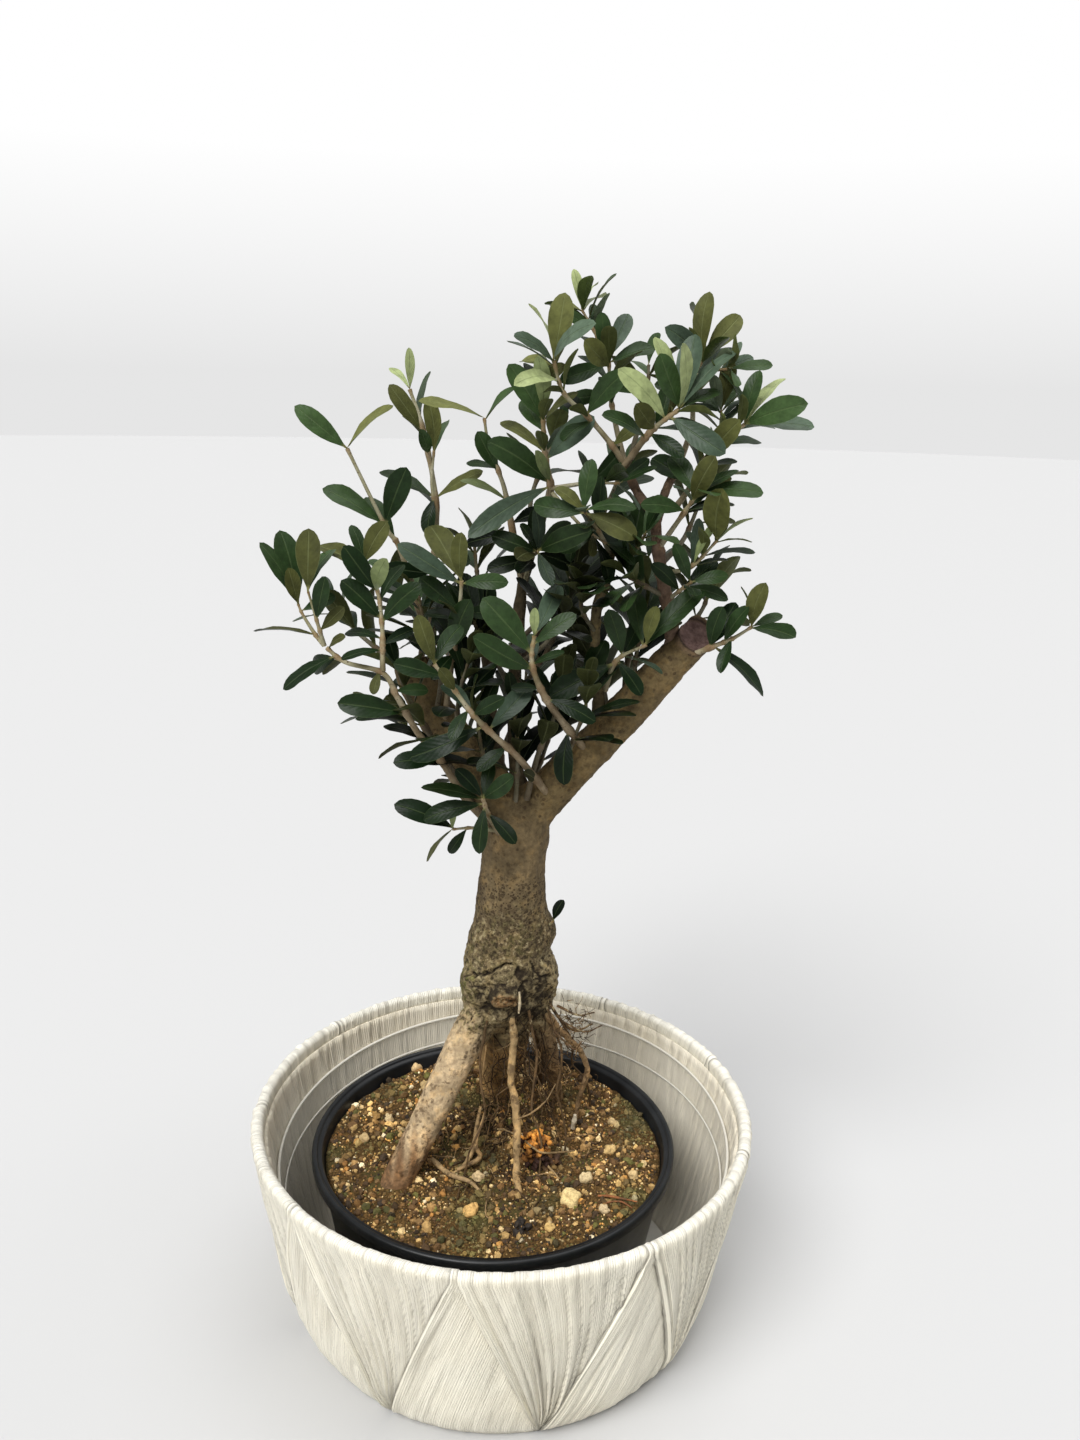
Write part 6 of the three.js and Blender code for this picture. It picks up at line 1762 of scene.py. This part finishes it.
# %% Measures of stems and leaves
TURN = {"b": 16, "n": 52, "t": 76}  # degrees between a leaf's face and the eye
DEPTH_STEPS = (0, -5, 5, -10, 10, -15, 15, -21, 21, -28, 28)
ROLL_STEPS = (0, 22, -22, 44, -44, 66, -66, 90, -90, 120, -120, 150, -150, 180)
WIDEST_BLADE, LONGEST_BLADE, BLADE_ARCH, WIDTH_SHARE = 13.6, 38, 0.07, 0.42
LEAF_ROOM, WOOD_ROOM, STEM_TAPER = 3.4, 1.3, 0.6
FIRST_PAIR, LEAF_LONG, TIP_LONG = 0.34, (27, 7), (17, 6)  # share of the stem; least length and its spread
LAST_PAIR_SIZE = 0.86
LEAF_LEAN, LEAN_LOST, TIP_LEAN = (46, 16), 2, 16  # degrees from the stem; lost with each pair; the end leaf
PAIR_ROLL, ROLL_SPREAD = 90, 24  # degrees round the stem from pair to pair, and how uneven that is

# %% [markdown]
# The leaves must stand just where the frame has them, so they are set again by the frame's own rules, in
# the same order and with the same seeded numbers. Each leaf tries a few places and takes the first one
# that is clear of the bark, of other stems and of the leaves before it.

# %% Seeded numbers and single blades
crown_seed = [20417]


def chance():
    crown_seed[0] = (crown_seed[0] * 1664525 + 1013904223) % 2**32
    return crown_seed[0] / 2**32


def at_station(line, station):
    place = min(station, len(line) - 1 - 1e-6)
    i = int(place)
    direction = (line[i + 1] - line[i]).normalized()
    return line[i].lerp(line[i + 1], place - i), direction


def turned_about(vector, axis, degrees):
    return Matrix.Rotation(math.radians(degrees), 3, axis) @ vector


def blade_between(foot, tip, face, tone, station):
    axis = (tip - foot).normalized()
    length = (tip - foot).length
    return {
        "foot": foot, "axis": axis, "length": length, "face": square(face, axis),
        "width": min(WIDEST_BLADE, length * WIDTH_SHARE), "tone": tone, "station": station,
    }


def placed_blade(line, leaf, bend):
    station, x, z, depth, look = leaf
    point, _ = at_station(line, station)
    tip = sighted(x, z, point.y + depth + bend)
    axis = (tip - point).normalized()
    to_eye = square(EYE - point, axis)
    ways = [turned_about(to_eye, axis, turn * TURN[look[0]]) for turn in (1, -1)]
    face = ways[0] if ways[0].z > ways[1].z else ways[1]
    return blade_between(point, tip, face, look[1], station)


def ruled_leaves(points, pairs):
    """Opposite pairs, each turned a quarter from the last, smaller to the tip."""
    leaves, start, last = [], chance() * 360, len(points) - 1
    for pair in range(pairs):
        station = last * (FIRST_PAIR + (1 - FIRST_PAIR) * (pair + 0.5) / pairs)
        for side in (0, 180):
            roll = start + pair * PAIR_ROLL + side + (chance() - 0.5) * ROLL_SPREAD
            size = LAST_PAIR_SIZE if pair == pairs - 1 else 1
            length = (LEAF_LONG[0] + chance() * LEAF_LONG[1]) * size
            lean = LEAF_LEAN[0] + chance() * LEAF_LEAN[1] - pair * LEAN_LOST
            leaves.append((station, roll, length, lean))
    return leaves + [(last, start, TIP_LONG[0] + chance() * TIP_LONG[1], TIP_LEAN)]


def ruled_blade(line, leaf, turn):
    station, roll, length, lean = leaf
    point, direction = at_station(line, station)
    out = turned_about(square(Vector((0, 0.3, 1)), direction), direction, roll + turn)
    lean = math.radians(lean)
    axis = (direction * math.cos(lean) + out * math.sin(lean)).normalized()
    face = direction * 0.9 + Vector((0, 0, 1)) * 0.6
    return blade_between(point, point + axis * length, face, "d", station)


# %% Setting the leaves
def blade_points(blade):
    """Points over a blade from a third of its length to its tip."""
    side = blade["axis"].cross(blade["face"])
    points = []
    for share in (0.3, 0.47, 0.64, 0.82, 1):
        rise = blade["length"] * BLADE_ARCH * 4 * share * (1 - share)
        middle = blade["foot"] + blade["axis"] * (blade["length"] * share) + blade["face"] * rise
        reach = 0 if share == 1 else blade["width"] / 2 * 0.9
        points += [middle + side * (way * reach) for way in ((-1, 0, 1) if reach else (0,))]
    return np.array(points)


def bark_places(line, radii):
    radii = radii_along(radii, len(line)) + WOOD_ROOM
    return np.array([(*point, radius) for point, radius in zip(line, radii)])


def clearance(points, places):
    gaps = np.linalg.norm(points[:, None] - places[None, :, :3], axis=2) - places[None, :, 3]
    return gaps.min()


def grow_crown():
    """Every sprig with its blades, as the frame has them."""
    bark = [
        bark_places(smooth_line([on(p) for p in points], 6), radii)
        for points, radii in (*LIMBS.values(), *BRANCHES.values())
    ]
    bark.append(np.array([(x, TRUNK_Y, z, radius + WOOD_ROOM) for z, x, radius in TRUNK]))
    sprigs = []
    for shoot, parts in SHOOTS.items():
        for radius, points, leaves in parts:
            line = [on(point) for point in points]
            stem = bark_places(smooth_line(line, 8), (radius, radius * STEM_TAPER))
            sprigs.append({"shoot": shoot, "radius": radius, "line": line, "leaves": leaves, "stem": stem})
    set_leaves = []
    for sprig in sprigs:
        by_rule = isinstance(sprig["leaves"], int)
        wanted = ruled_leaves(sprig["line"], sprig["leaves"]) if by_rule else sprig["leaves"]
        others = [other["stem"] for other in sprigs if other is not sprig]
        sprig["blades"] = []
        for leaf in wanted:
            taken = np.concatenate(bark + others + set_leaves)
            best = None
            for step in ROLL_STEPS if by_rule else DEPTH_STEPS:
                blade = (ruled_blade if by_rule else placed_blade)(sprig["line"], leaf, step)
                if step and blade["length"] > LONGEST_BLADE:
                    continue
                points = blade_points(blade)
                room = clearance(points, taken)
                if best is None or room > best[2] + 1e-9:
                    best = (blade, points, room)
                if room >= 0:
                    break
            sprig["blades"].append(best[0])
            set_leaves.append(np.column_stack((best[1], np.full(len(best[1]), LEAF_ROOM))))
    return sprigs


sprigs = grow_crown()
small = random.Random(23)
TALL = 400  # mm: sprigs that end above it have three pairs of small leaves each
LOW, FAR_LEFT, FAR_RIGHT = 290, -55, 105  # mm: sprigs that end past these stay airy, without small leaves
SMALL_TRIES = 8  # ways round the stem that a small leaf tries


def add_small_leaves():
    """Small leaves stand in pairs between the large ones of the outer sprigs, more of them near the top."""
    taken = np.concatenate([blade_points(blade) for sprig in sprigs for blade in sprig["blades"]])
    for sprig in sprigs:
        last, tip = len(sprig["line"]) - 1, sprig["line"][-1]
        tall = tip.z > TALL
        airy = tip.x < (0 if tall else FAR_LEFT) or tip.z < LOW or (tip.x > FAR_RIGHT and not tall)
        if airy or isinstance(sprig["leaves"], int):
            continue
        for share in (0.5, 0.74, 0.94) if tall else (0.6,):
            for _ in range(2):
                length, lean, roll = small.uniform(17, 25), small.uniform(38, 60), small.uniform(0, 360)
                leaf = (last * share, roll, length, lean)
                tries = []
                for step in range(SMALL_TRIES):
                    blade = ruled_blade(sprig["line"], leaf, 360 * step / SMALL_TRIES)
                    points = blade_points(blade)
                    room = np.linalg.norm(points[:, None] - taken[None], axis=2).min()
                    tries.append((room, blade, points))
                _, blade, points = max(tries, key=lambda found: found[0])
                blade["tone"] = small.choice("dddou")
                sprig["blades"].append(blade)
                taken = np.concatenate((taken, points))


add_small_leaves()
print("leaves:", sum(len(sprig["blades"]) for sprig in sprigs))

# %% [markdown]
# One blade is shaped once, as two sheets welded along the margin: a leaf is thin, so a grid of a few dozen
# faces bends well enough. Each leaf then gets its own fold along the midrib, twist and sideways bow.

# %% The blade's pattern
OUTLINE = (  # share of the length, share of the half width
    (0, 0.08), (0.07, 0.12), (0.14, 0.26), (0.24, 0.5), (0.42, 0.84), (0.56, 0.98), (0.68, 1), (0.8, 0.92),
    (0.9, 0.7), (0.96, 0.44), (1, 0),
)
STATIONS = (0, 0.07, 0.15, 0.27, 0.42, 0.56, 0.69, 0.8, 0.9, 0.96, 1)
WAYS = (-1, -0.52, 0, 0.52, 1)


def blade_pattern():
    """A mesh of one flat blade: x along it, y across it in half widths, z 0 above and -1 below."""
    shares, reaches = zip(*OUTLINE)
    work = bmesh.new()
    blade = work.verts.layers.float_vector.new("blade")
    work.verts.layers.float_vector.new("leaf")
    for below in (0, 1):
        rows = []
        for station in STATIONS:
            reach = float(np.interp(station, shares, reaches))
            row = []
            for way in WAYS:
                level = -below if abs(way) < 1 and 0 < station < 1 else 0
                vert = work.verts.new((station, way * reach, level))
                vert[blade] = (way, station, below)
                row.append(vert)
            rows.append(row)
        for low, high in zip(rows, rows[1:]):
            for i in range(len(WAYS) - 1):
                corners = (low[i], high[i], high[i + 1], low[i + 1])
                face = work.faces.new(corners if below else corners[::-1])
                face.material_index = below
                face.smooth = True
    bmesh.ops.remove_doubles(work, verts=work.verts, dist=1e-5)
    bmesh.ops.dissolve_degenerate(work, edges=work.edges, dist=1e-6)
    for edge in work.edges:
        if len({face.material_index for face in edge.link_faces}) == 2:
            edge.smooth = False
    return poured(work, "blade_pattern")


pattern = blade_pattern()
pattern_places = np.array([vert.co for vert in pattern.vertices])
print("faces of one leaf:", len(pattern.polygons))

# %% Bending a blade
bends = random.Random(4)
NARROWED = {"p": 0.74, "u": 0.88}  # young leaves are narrow
BLADE_LIFT, BLADE_THICK = 0.24, 0.5  # mm from the axis up to the upper side, and down to the lower one


def bent_blade(blade, stem_point):
    """Places of the pattern's vertices on one leaf, in metres; its foot is drawn to the stem."""
    share, across, level = pattern_places.T
    length = blade["length"]
    width = blade["width"] * bends.uniform(0.74, 1.0) * NARROWED.get(blade["tone"], 1)
    axis, face = np.array(blade["axis"]), np.array(blade["face"])
    side = np.cross(axis, face)
    twist = math.radians(bends.uniform(-26, 26)) * (share - 0.3)
    fold = bends.uniform(0.0, 0.26)
    bow = bends.uniform(-0.04, 0.04) * length * 4 * share * (1 - share)
    droop = bends.uniform(-0.08, 0.03) * length * share**3
    ripple = 0.012 * length * np.sin(share * bends.uniform(9, 15) + bends.uniform(0, 6)) * across
    reach = across * width / 2
    rise = length * BLADE_ARCH * 4 * share * (1 - share) + droop
    rise += fold * (np.abs(reach) - 0.35 * width * np.clip(share * 4, 0, 1)) + ripple
    rise += BLADE_LIFT + level * BLADE_THICK
    cos, sin = np.cos(twist), np.sin(twist)
    places = np.array(blade["foot"]) + np.outer(share * length, axis)
    places += np.outer(reach * cos + bow - rise * sin * 0.3, side)
    places += np.outer(rise + reach * sin, face)
    places += np.outer((1 - share) ** 2, np.array(stem_point) - np.array(blade["foot"]))
    return places * MM


# %% [markdown]
# Olive leaves are leathery: dark and glossy above, dull and olive below, with a pale midrib and a thin
# pale margin. The margin and the midrib follow the blade, so the shader reads the blade's own measures.

# %% Leaf and twig finish
LEAF_GLOSS, STALK = 0.15, (0.20, 0.19, 0.07)


def leaf_material(name, old, young, roughness, rib):
    """old, young: colours of a dark, an olive, a pale and a bluish leaf, the bluish one a painted sky
    reflection.
    Leaves turn from old to young tones with age and height; the change with height is partly painted light.
    """
    material, tree, shader = new_material(name, Roughness=roughness, Specular_IOR_Level=LEAF_GLOSS)
    leaf = parts_of(attribute(tree, "leaf"))
    blade = parts_of(attribute(tree, "blade"))
    old_tone, young_tone = [
        ramp(leaf["X"], [(i / 4 + 0.02, colour) for i, colour in enumerate(tones)], "CONSTANT")
        for tones in (old, young)
    ]
    tone = mixed(maths("POWER", leaf["Y"], 2.0), old_tone, young_tone)
    mottle = noise_at(in_place(tree), 230, 5, 0.62)
    vary = plus(times(mottle, 1.3), 0.30)
    # Painted shade for leaves deep in the crown, from the layer leaf.
    vary = times(vary, maths("SUBTRACT", 1.0, leaf["Z"]))
    colour = mixed(1.0, tone, vary, "MULTIPLY")
    across = maths("ABSOLUTE", blade["X"])
    midrib = grey(across, 0.10, 0.02)
    colour = stained(colour, midrib, 0.20, rib)
    colour = stained(colour, grey(across, 0.93, 0.995), 0.22, rib)
    colour = mixed(grey(blade["Y"], 0.13, 0.04), colour, (*STALK, 1))
    slant = maths("SUBTRACT", times(blade["Y"], 60), times(across, 14))
    veins = times(maths("SINE", slant), 0.08)
    height = maths("SUBTRACT", veins, midrib)
    finished(shader, colour, plus(height, times(mottle, 0.9)), 0.35, 0.6)
    return material


# Leaf tones from old, low leaves to young, high ones: the shift with height is partly painted light on high
# leaves and painted shade on low ones.
TOP_OLD_AND_SHADED = ((0.0035, 0.0125, 0.0028), (0.009, 0.020, 0.005), (0.20, 0.25, 0.10), (0.034, 0.056, 0.034))
TOP_YOUNG_AND_LIT = ((0.055, 0.100, 0.032), (0.080, 0.112, 0.030), (0.40, 0.46, 0.21), (0.100, 0.145, 0.095))
UNDER_OLD_AND_SHADED = ((0.045, 0.053, 0.015), (0.043, 0.046, 0.011), (0.24, 0.28, 0.11), (0.070, 0.090, 0.045))
UNDER_YOUNG_AND_LIT = ((0.13, 0.15, 0.045), (0.145, 0.155, 0.045), (0.42, 0.48, 0.21), (0.15, 0.19, 0.12))
leaf_top = leaf_material("leaf_top", TOP_OLD_AND_SHADED, TOP_YOUNG_AND_LIT, 0.36, (0.13, 0.18, 0.07))
leaf_under = leaf_material("leaf_under", UNDER_OLD_AND_SHADED, UNDER_YOUNG_AND_LIT, 0.6, (0.26, 0.29, 0.13))


YOUNG_TWIG = ((0.32, (0.22, 0.20, 0.10)), (0.5, (0.33, 0.31, 0.19)), (0.7, (0.44, 0.41, 0.29)))
STOUT_TWIG = ((0.32, (0.12, 0.085, 0.045)), (0.5, (0.22, 0.165, 0.095)), (0.7, (0.33, 0.265, 0.17)))
SPECK, KNUCKLE = (0.10, 0.065, 0.035), (0.26, 0.145, 0.055)


def twig_material(name, light):
    """Grey-brown where a twig is stout, pale green where it is young, orange at its knuckles; a light below 1
    paints shade on it.
    """
    material, tree, shader = new_material(name, Roughness=0.65, Specular_IOR_Level=0.3)
    place = in_place(tree)
    twig_parts = parts_of(attribute(tree, "leaf"))
    patches = noise_at(place, 90, 4)
    stoutness = grey(twig_parts["X"], 0.9, 1.7)
    colour = mixed(stoutness, ramp(patches, YOUNG_TWIG), ramp(patches, STOUT_TWIG))
    specks = noise_at(place, 900, 2)
    colour = mixed(grey(specks, 0.6, 0.72), colour, (*SPECK, 1))
    colour = stained(colour, twig_parts["Z"], 0.8, KNUCKLE)
    # Painted shade: the colour times light, below 1 for twigs deep in the crown.
    colour = mixed(1.0, colour, (light, light, light, 1), "MULTIPLY")
    finished(shader, colour, specks, 0.25, 0.6)
    return material


twig = twig_material("twig", 1.0)
# Twigs of the inner shoots, with shade painted on: 0.42 of the colour.
shaded_inner_twig = twig_material("shaded_inner_twig", 0.42)

# %% Growing the shoots
# u is a bluish tone: a reflection of the sky painted on a glossy leaf.
TONES = {"d": 0.0, "o": 0.27, "p": 0.52, "u": 0.77}
LOWEST_LEAF, CROWN_TALL = 255, 230  # mm
HEART_X, HEART_Y, HEART_CLEAR, HEART_DARK = 8, 30, 62, 18  # the crown's middle, and how far its shade goes
HEART_TOP, HEART_FADE = 450, 405  # mm: no shade above the first, full shade under the second
STEM_STEPS = 9  # points of a stem's line between two of its readings


def stem_line(sprig):
    """The smooth line of a sprig's stem, with its radii swollen where leaves stand."""
    line = smooth_line(sprig["line"], STEM_STEPS)
    radii = radii_along((sprig["radius"], sprig["radius"] * 0.42), len(line))
    swollen = np.ones(len(line))
    for blade in sprig["blades"]:
        at = min(len(line) - 1, round(blade["station"] * STEM_STEPS))
        for i, swell in ((at - 1, 1.08), (at, 1.4), (at + 1, 1.08)):
            if 0 <= i < len(line):
                swollen[i] = max(swollen[i], swell)
    return line, radii * swollen


def age_and_height_light(sprig, blade):
    """Leaves far along their sprig are young and lighter; high leaves are lighter too, partly because they
    are young and partly as light painted on the top of the crown.
    """
    along = blade["station"] / (len(sprig["line"]) - 1)
    tall = clamped((blade["foot"].z - LOWEST_LEAF) / CROWN_TALL)
    return clamped(0.25 * along + 0.56 * tall + bends.uniform(-0.24, 0.24))


def heart_shade(foot):
    """Leaves deep inside the crown get little light, so shade is painted into their colour."""
    deep = smooth_step(HEART_CLEAR, HEART_DARK, math.hypot(foot.x - HEART_X, foot.y - HEART_Y))
    return 0.75 * deep * smooth_step(HEART_TOP, HEART_FADE, foot.z)


def add_leaf(work, sprig, blade, line):
    at = min(len(line) - 1, round(blade["station"] * STEM_STEPS))
    pattern.vertices.foreach_set("co", bent_blade(blade, line[at]).ravel())
    shade = heart_shade(blade["foot"])
    looks = np.tile((TONES[blade["tone"]] + 0.02, age_and_height_light(sprig, blade), shade), len(pattern_places))
    pattern.attributes["leaf"].data.foreach_set("vector", looks)
    first = len(work.faces)
    work.from_mesh(pattern)
    if blade["tone"] == "o":  # an olive leaf shows its underside
        work.faces.ensure_lookup_table()
        for face in work.faces[first:]:
            face.material_index = 1 - face.material_index


def stems_mesh(stems, feet):
    """The stems, with their thickness and the closeness of a knuckle in the layer "leaf"."""
    mesh = tubes_mesh("stems", stems, 8)
    places = places_of(mesh)
    line = np.array([point for points, _ in stems for point in points])
    radii = np.concatenate([thick for _, thick in stems])
    nearest = np.linalg.norm(places[:, None] - line[None], axis=2).argmin(axis=1)
    knuckle = np.linalg.norm(places[:, None] - np.array(feet)[None], axis=2).min(axis=1)
    looks = np.column_stack((radii[nearest], np.zeros(len(places)), np.exp(-((knuckle / 1.9) ** 2))))
    store_layer(mesh, "leaf", looks)
    return mesh


LEAF_SIZE = {"right_end": 0.9}  # so that the limb's sawn end stays clear


def add_shoot(shoot):
    work = bmesh.new()
    stems, feet = [], []
    own_sprigs = [sprig for sprig in sprigs if sprig["shoot"] == shoot]
    for sprig in own_sprigs:
        line, radii = stem_line(sprig)
        for blade in sprig["blades"]:
            for measure in ("length", "width"):
                blade[measure] *= LEAF_SIZE.get(shoot, 1)
            add_leaf(work, sprig, blade, line)
            feet.append(blade["foot"])
        stems.append((line, radii))
    first = len(work.faces)
    work.from_mesh(stems_mesh(stems, feet))
    work.faces.ensure_lookup_table()
    for face in work.faces[first:]:
        face.material_index = 2
        face.smooth = True
    name, inner = "leafy_" + shoot, isinstance(SHOOTS[shoot][0][2], int)
    finishes = [leaf_top, leaf_under, shaded_inner_twig if inner else twig]
    add_piece(name, poured(work, name), finishes, "leaf", "shoot_" + shoot, smooth=False)


for shoot in SHOOTS:
    add_shoot(shoot)
